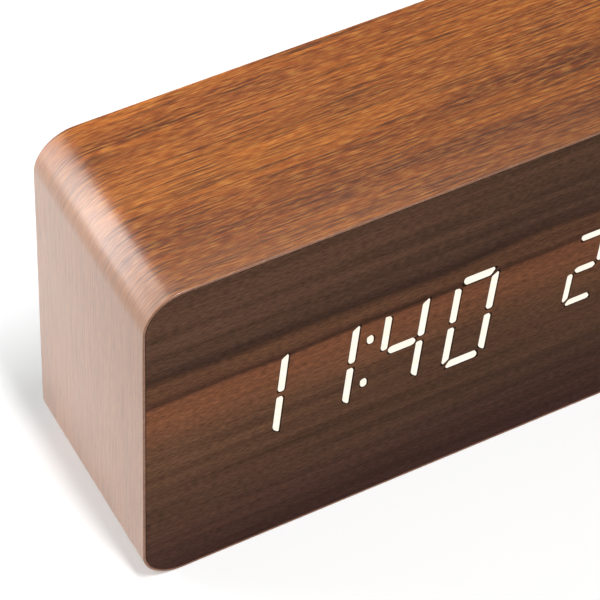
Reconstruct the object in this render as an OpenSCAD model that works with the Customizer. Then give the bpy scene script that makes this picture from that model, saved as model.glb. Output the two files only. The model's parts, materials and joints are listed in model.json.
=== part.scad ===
// Wooden digital alarm clock: a veneered fibreboard block with a seven-segment display that
// shines through the front, and a moulded back with push buttons, power inlet and battery tray.
// Millimetres. Origin at the middle of the base; +X right, +Y to the back, +Z up. Front faces -Y.

/* [Case] */
// Overall width
clock_w = 130; // [130:1:150]
// Overall height
clock_h = 70; // [70:1:80]
// Overall depth, front face to rear edge
clock_d = 38; // [37:0.5:46]
// Outer radius of the four long edges
corner_r = 7.2; // [5:0.1:9]
// Fibreboard wall at the top, base and ends
wall = 6; // [5.5:0.25:6]
// Fibreboard wall behind the front veneer
front_wall = 4; // [3.5:0.25:5]
// Thickness of the veneer round the case
wrap_t = 0.5; // [0.4:0.05:0.7]
// Thickness of the front veneer
veneer_t = 0.6; // [0.5:0.05:0.9]
// Glue line between the veneer and the fibreboard
glue_line = 0.05; // [0.03:0.01:0.08]

/* [Display] */
// Centre of the first digit from the middle of the face
time_x = -44; // [-46:0.25:-42]
// Display centre above the middle of the face
display_rise = 0.85; // [-2:0.1:3]
// Digit pitch of the time
digit_pitch = 12.8; // [12.4:0.1:13.2]
// Digit width, centre to centre of the upright strokes
digit_w = 6.85; // [6.4:0.05:7.2]
// Digit height, centre to centre of the top and bottom strokes
digit_h = 19.9; // [18:0.25:22]
// Width of an upright stroke
stroke_v = 1.25; // [1:0.05:1.5]
// Width of a level stroke
stroke_h = 1.75; // [1.4:0.05:2]
// Gap between neighbouring strokes
stroke_gap = 0.6; // [0.4:0.05:0.8]
// Gap between the upper and the lower upright strokes
middle_gap = 1.3; // [0.8:0.1:1.6]
// Rounding of a stroke's corners
stroke_round = 0.32; // [0.1:0.02:0.4]
// Middle of the colon below the digits' middle
colon_drop = 0.45; // [0:0.05:0.8]
// Lean of the digits in degrees
slant = 3.7; // [0:0.1:8]
// Size of the temperature digits against the time digits
small_scale = 0.775; // [0.7:0.005:0.85]
// Centre of the first temperature digit from the middle of the face
temp_x = 16.1; // [15:0.1:17]
// Pitch of the temperature digits
temp_pitch = 10.6; // [9.5:0.1:11]
// Temperature digits above the time digits' centre
temp_rise = 1.4; // [0:0.1:2]
// Last temperature digit to the degree mark
degree_step = 6.8; // [6:0.1:7.5]
// Degree mark to the unit letter
unit_step = 6.4; // [6:0.1:7.5]
// Margin of the reflector block round the strokes
cell_margin = 2; // [1.6:0.1:2.4]
// Depth of a lit area in the front veneer
lit_depth = 0.25; // [0.15:0.05:0.35]
// Dark line round each lit area
lit_gap = 0.2; // [0.08:0.02:0.24]
// Diffuser sheet thickness
diffuser_t = 0.3; // [0.2:0.05:0.5]
// Reflector and diffuser to the window, per side
window_gap = 0.25; // [0.15:0.05:0.4]
// Circuit board thickness
board_t = 1.6; // [1:0.2:2]
// Display board beyond the window, each end
board_end = 0.8; // [0.5:0.1:1.2]
// Display board beyond the window, above and below
board_edge = 5; // [4.5:0.1:5.2]
// Display board to the corner blocks
block_gap = 0.6; // [0.4:0.1:1]
// Display board screws in from the window's ends
screw_in = 6; // [4:0.5:9]

/* [Back cover] */
// Cover face below the rear edge of the case
cover_inset = 1; // [0.8:0.1:1.4]
// Cover plate thickness
cover_t = 2.4; // [2.2:0.1:2.8]
// Ledge that the cover plate sits on
ledge_w = 2.5; // [2:0.1:3]
// Cover plate to the rebate, per side
cover_gap = 0.25; // [0.15:0.05:0.4]
// Corner block of the fibreboard, each way
block_w = 8; // [7.4:0.1:8]
// Cover screw shank radius
cover_screw_r = 1.3; // [1.1:0.1:1.5]
// Cover screw head radius
cover_head_r = 2.6; // [2.4:0.1:2.8]
// Depth of the seat that a cover screw head sits in
seat_depth = 1.2; // [1:0.1:1.4]
// Cover screw length under the head
cover_screw_l = 10; // [8:0.5:12]
// Small screw shank radius
small_screw_r = 0.9; // [0.8:0.05:1]
// Small screw length under the head
small_screw_l = 4.6; // [4.2:0.1:4.8]
// Screw to its hole, radial
screw_gap = 0.06; // [0.04:0.01:0.1]

/* [Battery tray] */
// Tray centre from the middle of the clock, negative towards the left seen from the front
tray_x = -23; // [-23:0.5:-21.5]
// Battery radius
cell_r = 5.25; // [5.1:0.05:5.25]
// Battery length with its cap
cell_l = 44.5; // [44:0.1:44.8]
// Gap between batteries
cell_gap = 0.5; // [0.4:0.1:0.7]
// Spring length when a battery is in
spring_l = 5; // [4.6:0.1:5.4]
// Spring wire radius
spring_wire_r = 0.3; // [0.25:0.05:0.35]
// Tray wall thickness
tray_t = 1.5; // [1.3:0.1:1.6]
// Door thickness
door_t = 1.8; // [1.6:0.1:1.9]
// Door over the tray wall, per side
door_lap = 1; // [0.8:0.1:1]
// Door to its opening, per side
door_gap = 0.3; // [0.25:0.05:0.4]
// Hinge pin radius
pin_r = 0.7; // [0.6:0.05:0.75]
// Hinge pin length
pin_l = 1.4; // [1.2:0.1:1.8]
// Hinge pin to its hole, radial
pin_gap = 0.05; // [0.03:0.01:0.08]
// Latch tongue width
latch_w = 10; // [8:0.5:12]
// Latch tongue length
latch_l = 8; // [6:0.5:10]
// Slot beside the latch tongue
latch_slot = 0.8; // [0.6:0.1:1.2]
// Height of the fingernail ridge on the latch
ridge_h = 0.6; // [0.4:0.1:0.8]
// Width of the fingernail ridge
ridge_t = 1; // [0.8:0.1:1.4]
// Height of the ribs inside the door
rib_h = 1.4; // [1:0.1:1.4]
// Thickness of a rib
rib_t = 1; // [0.8:0.1:1.2]
// Ribs in from the door's ends
rib_in = 6; // [4:0.5:8]
// Contact tab above the tray floor
tab_rise = 2.2; // [2:0.1:2.6]
// Contact tab width
tab_w = 3; // [2.4:0.1:3.4]
// Angle the door is drawn at
door_angle = 0; // [0:1:95]

/* [Buttons and key board] */
// Key board centre from the middle of the clock
key_x = 30; // [29:0.5:32]
// Key board width
key_w = 40; // [40:0.5:42]
// Key board height
key_h = 33; // [33:0.5:36]
// Button pitch
button_pitch = 12; // [11:0.5:12.5]
// Buttons above the middle of the clock
button_rise = 8; // [7:0.5:8.5]
// Button radius
button_r = 3.3; // [3:0.1:3.6]
// Button proud of the cover face
button_out = 0.9; // [0.7:0.1:1]
// Button to its hole, radial
button_gap = 0.08; // [0.05:0.01:0.1]
// Flange of a button beyond its radius
flange_w = 0.9; // [0.7:0.1:1.1]
// Button travel
button_travel = 0.5; // [0.3:0.05:0.6]
// Switch housing width
switch_w = 6; // [5.8:0.1:6.2]
// Switch housing height
switch_h = 3.5; // [3.3:0.1:3.7]
// Switch plunger radius
plunger_r = 1.7; // [1.5:0.05:1.75]
// Switch plunger above its housing
plunger_out = 1.5; // [1.2:0.1:1.7]

/* [Electronics] */
// Buzzer radius
buzzer_r = 6; // [5.5:0.1:6.2]
// Buzzer height
buzzer_h = 6.5; // [5.5:0.1:7]
// Buzzer in from the key board's right edge
buzzer_in = 10; // [9:0.5:11]
// Power inlet width
socket_w = 7.6; // [7:0.1:8]
// Power inlet height
socket_h = 2.9; // [2.7:0.1:3.2]
// Power inlet in from the key board's left edge
socket_in = 9; // [8.5:0.5:10]
// Inlet and buzzer below the middle of the clock
socket_drop = 8; // [7:0.5:8.5]
// Backup cell radius
coin_r = 10; // [9:0.5:10]
// Backup cell thickness
coin_t = 3.2; // [2:0.1:3.2]
// Backup holder to the ribbon header
coin_gap = 1.8; // [1:0.1:2]
// Backup holder wall round the cell
holder_wall = 1.2; // [1:0.1:1.4]
// Backup cell above the middle of the clock
coin_rise = 3; // [2.5:0.1:3]
// Ribbon header length
header_w = 12; // [10:0.5:12]
// Ribbon header height
header_h = 5; // [4:0.5:6]
// Ribbon header depth
header_l = 4; // [3.5:0.1:4.5]
// Ribbon header in from the key board's left edge
header_in = 7; // [6.5:0.1:7.2]
// Display header above the middle of the clock
header_rise = 9; // [8:0.5:10]
// Ribbon in from the ends of its headers
ribbon_in = 1; // [0.8:0.1:1.5]
// Ribbon thickness
ribbon_t = 0.9; // [0.7:0.1:1]
// Display driver length
driver_l = 18; // [15:0.5:18]
// Display driver width
driver_w = 7.4; // [6:0.1:8]
// Display driver thickness
driver_t = 2.2; // [1.8:0.1:2.4]
// Display driver left of the window's middle
driver_in = 6; // [4:0.5:8]
// Pitch of the chips' legs
leg_pitch = 1.27; // [1:0.01:1.27]
// Clock chip length
chip_l = 10; // [9.6:0.1:10.4]
// Clock chip width
chip_w = 4; // [3.6:0.1:4.4]
// Clock chip thickness
chip_t = 1.8; // [1.4:0.1:2]
// Radius of the battery leads
lead_r = 0.6; // [0.5:0.05:0.7]

/* [Hidden] */
$fn = 64;
eps = 0.01;
mid_z = clock_h / 2;
front_y = -clock_d / 2;
rear_y = clock_d / 2;
skin = wrap_t + glue_line;
case_y0 = front_y + veneer_t;
cavity_y0 = case_y0 + front_wall;
cover_y1 = rear_y - cover_inset;
cover_y0 = cover_y1 - cover_t;
half_w = clock_w / 2;
cavity_x = half_w - skin - wall;
cavity_z0 = skin + wall;
cavity_h = clock_h - 2 * cavity_z0;
rebate_x = cavity_x + ledge_w;
rebate_h = cavity_h + 2 * ledge_w;
rebate_r = 3.5;
cavity_r = 2;

// Display layout
display_z = mid_z + display_rise;
lean = tan(slant);
last_x = time_x + 3 * digit_pitch;
colon_x = time_x + 1.5 * digit_pitch;
temp_z = display_z + temp_rise;
degree_x = temp_x + temp_pitch + degree_step;
unit_x = degree_x + unit_step;
small_w = digit_w * small_scale;
small_h = digit_h * small_scale;
small_v = stroke_v * small_scale;
small_s = stroke_h * small_scale;
unit_w = small_w * 0.95;
colon_rise = digit_h * 0.263;
colon_z = display_z - colon_drop;
colon_w = stroke_v;
colon_h = stroke_h + 0.2;
degree_r = stroke_h * 0.5;
degree_z = temp_z + small_h / 2 - degree_r / 2;
digit_out = digit_w / 2 + stroke_v / 2 + lean * (digit_h + stroke_h) / 2;
unit_out = unit_w / 2 + small_v / 2 + lean * (temp_rise + (small_h + small_s) / 2);
strokes_x0 = time_x - digit_out;
strokes_x1 = unit_x + unit_out;
window_x0 = strokes_x0 - cell_margin;
window_x1 = strokes_x1 + cell_margin;
window_zh = (digit_h + stroke_h) / 2 + cell_margin;
window_xc = (window_x0 + window_x1) / 2;
window_xh = (window_x1 - window_x0) / 2;
display_board_y1 = cavity_y0 + board_t;
display_screw_x = window_xh - screw_in;
display_screw_z = window_zh + board_edge / 2;
diffuser_y1 = case_y0 + diffuser_t;

// Lit strokes by digit: a top, b upper right, c lower right, d base, e lower left, f upper left, g middle
all_strokes = "abcdefg";
lit_time = ["bc", "bc", "bcfg", "abcdef"];
lit_temp = ["abdeg", "bcfg"];
unit_strokes = "adef";

// Battery tray: cells along X, stacked in Z; the door hinges on pins along its top edge
cell_pitch = 2 * cell_r + cell_gap;
plate_metal = 0.4;
tab_gap = 0.2;
tray_xh = (cell_l + spring_l + 2 * plate_metal + 0.7) / 2;
tray_zh = cell_pitch + cell_r + 0.35;
door_in_y = cover_y1 - door_t;
cell_y = door_in_y - 0.5 - cell_r;
tray_floor_y = cell_y - cell_r - 0.1;
door_rest = 0.15;
wall_top_y = door_in_y - door_rest;
door_xh = tray_xh + door_lap;
open_xh = door_xh + door_gap;
door_z0 = mid_z - tray_zh - door_lap;
hinge_r = cover_t / 2;
hinge_y = cover_y1 - hinge_r;
hinge_z = mid_z + tray_zh + door_lap;
open_z0 = door_z0 - door_gap;
open_z1 = hinge_z + hinge_r + door_gap;
hood_t = 1.1;
hood_z1 = open_z1 + hood_t;

// Key board: parallel to the cover, its outer face carries the switches
flange_t = 1.2;
flange_y1 = cover_y0 - 0.05;
stem_r = plunger_r - 0.1;
stem_l = 1.2;
plunger_y1 = flange_y1 - flange_t - stem_l - 0.05;
switch_y1 = plunger_y1 - plunger_out;
key_y1 = switch_y1 - switch_h;
key_y0 = key_y1 - board_t;
plunger_in = 1.2;
button_z = mid_z + button_rise;
button_x = [key_x - button_pitch, key_x, key_x + button_pitch];
boss_r = 2.4;
boss_x = key_w / 2 - 2.6;
boss_z = key_h / 2 - 2.6;
key_left = key_x - key_w / 2;
key_right = key_x + key_w / 2;
socket_x = key_left + socket_in;
socket_z = mid_z - socket_drop;
socket_y1 = cover_y1 - 0.4;
buzzer_x = key_right - buzzer_in;
buzzer_z = mid_z - socket_drop;
sensor_x = key_x;
sensor_z = mid_z - 9;
holder_t = 0.8;
header_x = key_left + header_in;
key_header_z = mid_z;
face_header_z = mid_z + header_rise;
coin_x = header_x + header_w / 2 + coin_gap + holder_wall + coin_r;
coin_z = mid_z + coin_rise;

// A drawing in X and Z, given depth from y0 to y1
module slab(y0, y1) {
  translate([0, y1, 0])
    rotate([90, 0, 0])
      linear_extrude(y1 - y0)
        children();
}

// A round bar along Y from y0 to y1
module bar_y(x, z, r, y0, y1) {
  translate([x, y1, z])
    rotate([90, 0, 0])
      cylinder(r = r, h = y1 - y0);
}

// A rectangle with round corners, centred on x and z
module round_rect(x, z, w, h, r) {
  translate([x - w / 2 + r, z - h / 2])
    square([w - 2 * r, h]);
  translate([x - w / 2, z - h / 2 + r])
    square([w, h - 2 * r]);
  for (sx = [-1, 1], sz = [-1, 1]) {
    translate([x + sx * (w / 2 - r), z + sz * (h / 2 - r)])
      circle(r = r);
  }
}

// A box from one corner to the opposite one
module box(a, b) {
  translate(a)
    cube(b - a);
}

// A screw along Y: pan head from head_y, shank towards dir
module screw(x, z, head_y, dir, r, head_r, head_h, length) {
  bar_y(x, z, r, min(head_y, head_y + dir * length), max(head_y, head_y + dir * length));
  difference() {
    bar_y(x, z, head_r, min(head_y, head_y - dir * head_h), max(head_y, head_y - dir * head_h));
    for (turn = [0, 90]) {
      translate([x, head_y - dir * head_h, z])
        rotate([0, turn, 0])
          cube([head_r * 1.2, head_h, head_r * 0.28], center = true);
    }
  }
}

// Outline of one stroke of a digit whose strokes are w and h apart, before the lean. The upright strokes
// end in mitres at the digit's outer corners, and the middle stroke in points.
function stroke_points(s, w, h, tv, th) =
  let (
    k = stroke_gap,
    xo = (w + tv) / 2,
    xi = (w - tv) / 2,
    zo = (h + th) / 2,
    zi = (h - th) / 2,
    zb = zi - k,
    zm = middle_gap * h / digit_h / 2,
    xa = xi + tv * 0.75 - k / 2,
    xd = xi - k / 2,
    xg = xi - k,
    e = k / 4
  )
  s == "a" ? [[-xi + e, zo], [xa, zo], [xd, zi], [-xi + e, zi]] :
  s == "d" ? [[-xd, -zi], [xi - e, -zi], [xi + e, -zo], [-xa, -zo]] :
  s == "b" ? [[xi, zb], [xo, zb + tv], [xo, zm], [xi, zm]] :
  s == "c" ? [[xi, -zm], [xo, -zm], [xo, -zb - tv], [xi, -zb]] :
  s == "f" ? [[-xo, zb + tv / 3], [-xi, zb], [-xi, zm], [-xo, zm]] :
  s == "e" ? [[-xo, -zm], [-xi, -zm], [-xi, -zb], [-xo, -zb - tv]] :
  [[-xi + e / 2, 0], [-xg, th / 2], [xg, th / 2], [xi - e / 2, 0], [xg, -th / 2], [-xg, -th / 2]];

// The same outline grown all round by g
function grown(p, g) =
  let (c = [for (i = [0:1]) (min([for (q = p) q[i]]) + max([for (q = p) q[i]])) / 2])
  [for (q = p) [q[0] + sign(q[0] - c[0]) * g, q[1] + sign(q[1] - c[1]) * g]];

// The same outline with its corners rounded
function rounded_off(p, r) =
  let (n = len(p))
  [for (i = [0:n - 1])
    let (
      q = p[i],
      a = p[(i + n - 1) % n] - q,
      b = p[(i + 1) % n] - q,
      u = a / norm(a) * min(r, norm(a) * 0.45),
      v = b / norm(b) * min(r, norm(b) * 0.45)
    )
    for (t = [0, 1 / 3, 2 / 3, 1]) q + u * pow(1 - t, 2) + v * pow(t, 2)];

// The same outline leaned, and set at x and z
function leaned(p, x, z) = [for (q = p) [x + q[0] + lean * (z + q[1] - display_z), z + q[1]]];

module stroke(s, x, z, w, h, tv, th, g, r) {
  p = grown(stroke_points(s, w, h, tv, th), g);
  polygon(leaned(r > 0 ? rounded_off(p, r + g) : p, x, z));
}

// A dot with straight flanks, leaning with the digits
module dot(x, z, w, h, g) {
  xl = x + lean * (z - display_z);
  for (side = [-1, 1]) {
    translate([xl, z + side * (h - w) / 2])
      circle(r = w / 2 + g);
  }
  translate([xl - w / 2 - g, z - (h - w) / 2])
    square([w + 2 * g, h - w]);
}

// Strokes of the display; lit picks the lit ones only and rounds them, g grows them
module strokes(lit, g) {
  r = lit ? stroke_round : 0;
  for (i = [0:3], s = lit ? lit_time[i] : all_strokes) {
    stroke(s, time_x + i * digit_pitch, display_z, digit_w, digit_h, stroke_v, stroke_h, g, r);
  }
  for (i = [0:1], s = lit ? lit_temp[i] : all_strokes) {
    stroke(s, temp_x + i * temp_pitch, temp_z, small_w, small_h, small_v, small_s, g, r);
  }
  for (s = unit_strokes) {
    stroke(s, unit_x, temp_z, unit_w, small_h, small_v, small_s, g, r);
  }
  for (side = [-1, 1]) {
    dot(colon_x, colon_z + side * colon_rise, colon_w, colon_h, g);
  }
  dot(degree_x, degree_z, 2 * degree_r, 2 * degree_r + 0.2, g);
}

// A lamp sits at the middle of each stroke
function middle(p) = [for (i = [0:1]) (min([for (q = p) q[i]]) + max([for (q = p) q[i]])) / 2];
function lamp_spots(set, x, z, w, h, tv, th) =
  [for (s = set) let (p = middle(leaned(stroke_points(s, w, h, tv, th), x, z)))
    [p[0], p[1], s == "a" || s == "d" || s == "g" ? 0 : 90]];
lamp_list = concat(
  [for (i = [0:3]) each lamp_spots(all_strokes, time_x + i * digit_pitch, display_z,
    digit_w, digit_h, stroke_v, stroke_h)],
  [for (i = [0:1]) each lamp_spots(all_strokes, temp_x + i * temp_pitch, temp_z,
    small_w, small_h, small_v, small_s)],
  lamp_spots(unit_strokes, unit_x, temp_z, unit_w, small_h, small_v, small_s),
  [for (side = [-1, 1], z = [colon_z + side * colon_rise]) [colon_x + lean * (z - display_z), z, 90]],
  [[degree_x + lean * (degree_z - display_z), degree_z, 90]]
);

// A tube of many sides along a line of points, as one unbroken skin
module tube(points, r, sides) {
  n = len(points);
  rings = [for (i = [0:n - 1])
    let (
      a = points[max(i - 1, 0)],
      b = points[min(i + 1, n - 1)],
      t = (b - a) / norm(b - a),
      side = abs(t[0]) > 0.9 ? [0, 0, 1] : [1, 0, 0],
      u = cross(t, side) / norm(cross(t, side)),
      v = cross(t, u)
    )
    for (k = [0:sides - 1]) points[i] + r * (cos(360 * k / sides) * u + sin(360 * k / sides) * v)];
  polyhedron(
    points = rings,
    faces = concat(
      [[for (k = [0:sides - 1]) sides - 1 - k]],
      [for (i = [0:n - 2], k = [0:sides - 1])
        let (a = i * sides + k, b = i * sides + (k + 1) % sides)
        each [[a, b, b + sides], [a, b + sides, a + sides]]],
      [[for (k = [0:sides - 1]) (n - 1) * sides + k]]
    )
  );
}

// Case and front

// The wrap runs from one end of the base sheet, over an end, the top and the other end, to its other end
base_xh = half_w - corner_r + 0.4;

module veneer_wrap() {
  color("#a86b3c")
    slab(front_y, rear_y) {
      difference() {
        round_rect(0, mid_z, clock_w, clock_h, corner_r);
        round_rect(0, mid_z, clock_w - 2 * wrap_t, clock_h - 2 * wrap_t, corner_r - wrap_t);
        translate([-base_xh - glue_line, -1])
          square([2 * (base_xh + glue_line), 3]);
      }
    }
}

module base_sheet() {
  color("#8a5734")
    box([-base_xh, front_y, 0], [base_xh, rear_y, wrap_t]);
}

module front_veneer() {
  color("#4a2e22")
    difference() {
      slab(front_y, case_y0)
        round_rect(0, mid_z, clock_w - 2 * skin, clock_h - 2 * skin, corner_r - skin);
      slab(front_y - eps, front_y + lit_depth)
        strokes(true, lit_gap);
    }
}

module lit_segments() {
  color("#fff3dc")
    slab(front_y, front_y + lit_depth)
      strokes(true, 0);
}

module corner_blocks(gap) {
  for (sx = [-1, 1], sz = [-1, 1]) {
    translate([sx * (cavity_x - block_w / 2), mid_z + sz * (cavity_h / 2 - block_w / 2)])
      square(block_w + 2 * gap, center = true);
  }
}

// Corner screws of the back cover
cover_screw_at = [for (sx = [-1, 1], sz = [-1, 1])
  [sx * (cavity_x - block_w / 2 + 0.6), mid_z + sz * (cavity_h / 2 - block_w / 2 + 0.6)]];
display_screw_at = [for (sx = [-1, 1], sz = [-1, 1])
  [window_xc + sx * display_screw_x, display_z + sz * display_screw_z]];

module case_shell() {
  color("#9c7a55")
    difference() {
      slab(case_y0, rear_y)
        round_rect(0, mid_z, clock_w - 2 * skin, clock_h - 2 * skin, corner_r - skin);
      slab(cavity_y0, rear_y + 1) {
        difference() {
          round_rect(0, mid_z, 2 * cavity_x, cavity_h, cavity_r);
          corner_blocks(eps);
        }
      }
      slab(cover_y0, rear_y + 1)
        round_rect(0, mid_z, 2 * rebate_x, rebate_h, rebate_r);
      slab(case_y0 - 1, cavity_y0 + 1)
        translate([window_x0, display_z - window_zh])
          square([2 * window_xh, 2 * window_zh]);
      for (p = cover_screw_at) {
        bar_y(p[0], p[1], cover_screw_r + screw_gap, cover_y0 - cover_screw_l, cover_y0 + 1);
      }
      for (p = display_screw_at) {
        bar_y(p[0], p[1], small_screw_r + screw_gap, cavity_y0 - small_screw_l + board_t - 0.2,
          cavity_y0 + 1);
      }
    }
}

// Display, front to back: diffuser, reflector with a cell for every stroke, board with its lamps

module diffuser_sheet() {
  color("#e8e4da")
    slab(case_y0, diffuser_y1)
      translate([window_x0 + window_gap, display_z - window_zh + window_gap])
        square([2 * (window_xh - window_gap), 2 * (window_zh - window_gap)]);
}

module segment_reflector() {
  color("#f2f2ee")
    difference() {
      slab(diffuser_y1, cavity_y0)
        translate([window_x0 + window_gap, display_z - window_zh + window_gap])
          square([2 * (window_xh - window_gap), 2 * (window_zh - window_gap)]);
      slab(diffuser_y1 - 1, cavity_y0 + 1)
        strokes(false, 0);
    }
}

module display_board() {
  color("#2f6b45")
    difference() {
      slab(cavity_y0, display_board_y1)
        difference() {
          translate([window_x0 - board_end, display_z - window_zh - board_edge])
            square([2 * (window_xh + board_end), 2 * (window_zh + board_edge)]);
          corner_blocks(block_gap);
        }
      for (p = display_screw_at) {
        bar_y(p[0], p[1], small_screw_r + 0.2, cavity_y0 - 1, display_board_y1 + 1);
      }
    }
}

module segment_lamps() {
  color("#f6d98a")
    for (lamp = lamp_list) {
      translate([lamp[0], cavity_y0, lamp[1]])
        rotate([0, lamp[2] == 90 ? slant - 90 : 0, 0])
          translate([-0.65, -0.5, -0.3])
            cube([1.3, 0.5, 0.6]);
    }
}

module display_screws() {
  color("#c9ccd1")
    for (p = display_screw_at) {
      screw(p[0], p[1], display_board_y1, -1, small_screw_r, 1.9, 1.1, small_screw_l - 0.3);
    }
}

// A flat leg of a chip, from the board up into the body's flank
leg_w = 0.4;
leg_h = 0.5;
leg_l = 1.6;
leg_rise = 0.2;
module leg(x, y, z) {
  translate([x - leg_w / 2, y, z - leg_l / 2])
    cube([leg_w, leg_h, leg_l]);
}

module driver_chip() {
  color("#26282b") {
    x = window_xc - driver_in;
    y = display_board_y1;
    legs = floor((driver_l - leg_w) / leg_pitch);
    box([x - driver_l / 2, y + leg_rise, display_z - driver_w / 2],
      [x + driver_l / 2, y + leg_rise + driver_t, display_z + driver_w / 2]);
    for (i = [0:legs - 1], side = [-1, 1]) {
      leg(x + (i - (legs - 1) / 2) * leg_pitch, y, display_z + side * driver_w / 2);
    }
  }
}

// Back cover: plate, battery tray, hinge holes, bosses, button holes, socket slot, sound holes, vents

module tray_outer() {
  slab(tray_floor_y - tray_t, cover_y0 + eps)
    translate([tray_x - tray_xh - tray_t, mid_z - tray_zh - tray_t])
      square([2 * (tray_xh + tray_t), hood_z1 - mid_z + tray_zh + tray_t]);
}

module tray_inner() {
  slab(tray_floor_y, cover_y1 + 1)
    translate([tray_x - tray_xh, mid_z - tray_zh])
      square([2 * tray_xh, 2 * tray_zh]);
}

// Slots in the tray floor's ends where the contact tabs pass through the end walls
module contact_slots() {
  y0 = tray_floor_y + tab_rise - tab_gap;
  y1 = tray_floor_y + tab_rise + plate_metal + tab_gap;
  z = tab_w / 2 + tab_gap;
  box([tray_x - tray_xh - tray_t - 1, y0, mid_z + cell_pitch - z],
    [tray_x - tray_xh + 1, y1, mid_z + cell_pitch + z]);
  box([tray_x + tray_xh - 1, y0, mid_z - cell_pitch - z],
    [tray_x + tray_xh + tray_t + 1, y1, mid_z - cell_pitch + z]);
}

boss_at = [for (sx = [-1, 1], sz = [-1, 1]) [key_x + sx * boss_x, mid_z + sz * boss_z]];
sound_at = concat([[0, 0]], [for (i = [0:5]) 3.4 * [cos(60 * i), sin(60 * i)]]);

module back_cover() {
  color("#1d1e20")
    difference() {
      union() {
        slab(cover_y0, cover_y1)
          round_rect(0, mid_z, 2 * (rebate_x - cover_gap), rebate_h - 2 * cover_gap, rebate_r - cover_gap);
        tray_outer();
        slab(cover_y0 - eps, wall_top_y)
          translate([tray_x - tray_xh - tray_t, mid_z - tray_zh - tray_t])
            square([2 * (tray_xh + tray_t), 2 * tray_zh]);
        for (p = boss_at) {
          bar_y(p[0], p[1], boss_r, key_y1, cover_y0 + eps);
        }
      }
      tray_inner();
      // door opening, down to the tops of the tray walls, and deeper under the hinge
      slab(wall_top_y, cover_y1 + 1)
        translate([tray_x - open_xh, open_z0])
          square([2 * open_xh, open_z1 - open_z0]);
      slab(cover_y0 - door_gap, cover_y1 + 1)
        translate([tray_x - open_xh, hinge_z - hinge_r - door_gap])
          square([2 * open_xh, open_z1 - hinge_z + hinge_r + door_gap]);
      translate([tray_x - open_xh - pin_l, hinge_y, hinge_z])
        rotate([0, 90, 0])
          cylinder(r = pin_r + pin_gap, h = 2 * (open_xh + pin_l));
      // scoop for a fingernail under the latch
      translate([tray_x, cover_y1, open_z0])
        rotate([90, 0, 0])
          cylinder(r = latch_w / 2 - 0.5, h = 1.1, center = true);
      contact_slots();
      for (p = boss_at) {
        bar_y(p[0], p[1], small_screw_r + screw_gap, key_y1 - 1, key_y1 + small_screw_l - board_t);
      }
      for (x = button_x) {
        bar_y(x, button_z, button_r + button_gap, cover_y0 - 1, cover_y1 + 1);
      }
      for (p = cover_screw_at) {
        bar_y(p[0], p[1], cover_screw_r + 0.2, cover_y0 - 1, cover_y1 + 1);
        bar_y(p[0], p[1], cover_head_r + 0.3, cover_y1 - seat_depth, cover_y1 + 1);
      }
      box([socket_x - socket_w / 2 - 0.25, cover_y0 - 1, socket_z - socket_h / 2 - 0.25],
        [socket_x + socket_w / 2 + 0.25, cover_y1 + 1, socket_z + socket_h / 2 + 0.25]);
      for (p = sound_at) {
        bar_y(buzzer_x + p[0], buzzer_z + p[1], 0.8, cover_y0 - 1, cover_y1 + 1);
      }
      for (i = [-2:2]) {
        translate([sensor_x + i * 2.2 - 0.5, cover_y0 - 1, sensor_z - 8])
          cube([1, cover_t + 2, 7]);
      }
    }
}

module cover_screws() {
  color("#8b8f95")
    for (p = cover_screw_at) {
      screw(p[0], p[1], cover_y1 - seat_depth, -1, cover_screw_r, cover_head_r, seat_depth - 0.1,
        cover_screw_l);
    }
}

// Battery door: plate with a rolled hinge edge, two pins, ribs and a sprung latch tongue

module battery_door_flat() {
  difference() {
    union() {
      box([tray_x - door_xh, door_in_y, door_z0], [tray_x + door_xh, cover_y1, hinge_z]);
      translate([tray_x - door_xh, hinge_y, hinge_z])
        rotate([0, 90, 0])
          cylinder(r = hinge_r, h = 2 * door_xh);
      translate([tray_x - door_xh - pin_l, hinge_y, hinge_z])
        rotate([0, 90, 0])
          cylinder(r = pin_r, h = 2 * (door_xh + pin_l));
      // ribs that stand in the valleys between the batteries
      for (side = [-1, 1]) {
        z = mid_z + side * cell_pitch / 2;
        box([tray_x - door_xh + rib_in, door_in_y - rib_h, z - rib_t / 2],
          [tray_x + door_xh - rib_in, door_in_y + eps, z + rib_t / 2]);
      }
      // fingernail ridge on the latch
      box([tray_x - latch_w / 2 + ridge_t, cover_y1 - eps, door_z0 + ridge_h],
        [tray_x + latch_w / 2 - ridge_t, cover_y1 + ridge_h, door_z0 + ridge_h + ridge_t]);
    }
    for (side = [-1, 1]) {
      translate([tray_x + side * latch_w / 2 - latch_slot / 2, door_in_y - 1, door_z0 - 1])
        cube([latch_slot, door_t + 2, latch_l + 1]);
    }
  }
}

module battery_door() {
  color("#202124")
    translate([0, hinge_y, hinge_z])
      rotate([door_angle, 0, 0])
        translate([0, -hinge_y, -hinge_z])
          battery_door_flat();
}

// Batteries alternate end for end; row is 1 at the top, -1 at the base

module battery(row) {
  turn = row == 0 ? 180 : 0;
  spring_end = tray_x - (row == 0 ? -1 : 1) * (tray_xh - plate_metal - spring_l - 0.1);
  translate([spring_end, cell_y, mid_z + row * cell_pitch])
    rotate([0, 0, turn])
      rotate([0, 90, 0]) {
        cylinder(r = cell_r - 0.6, h = 0.6);
        translate([0, 0, 0.5])
          cylinder(r = cell_r, h = cell_l - 1.6);
        translate([0, 0, cell_l - 1.3])
          cylinder(r = 1.9, h = 1.3);
      }
}

module battery_top() {
  color("#3f5f86")
    battery(1);
}

module battery_middle() {
  color("#3f5f86")
    battery(0);
}

module battery_bottom() {
  color("#3f5f86")
    battery(-1);
}

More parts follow.
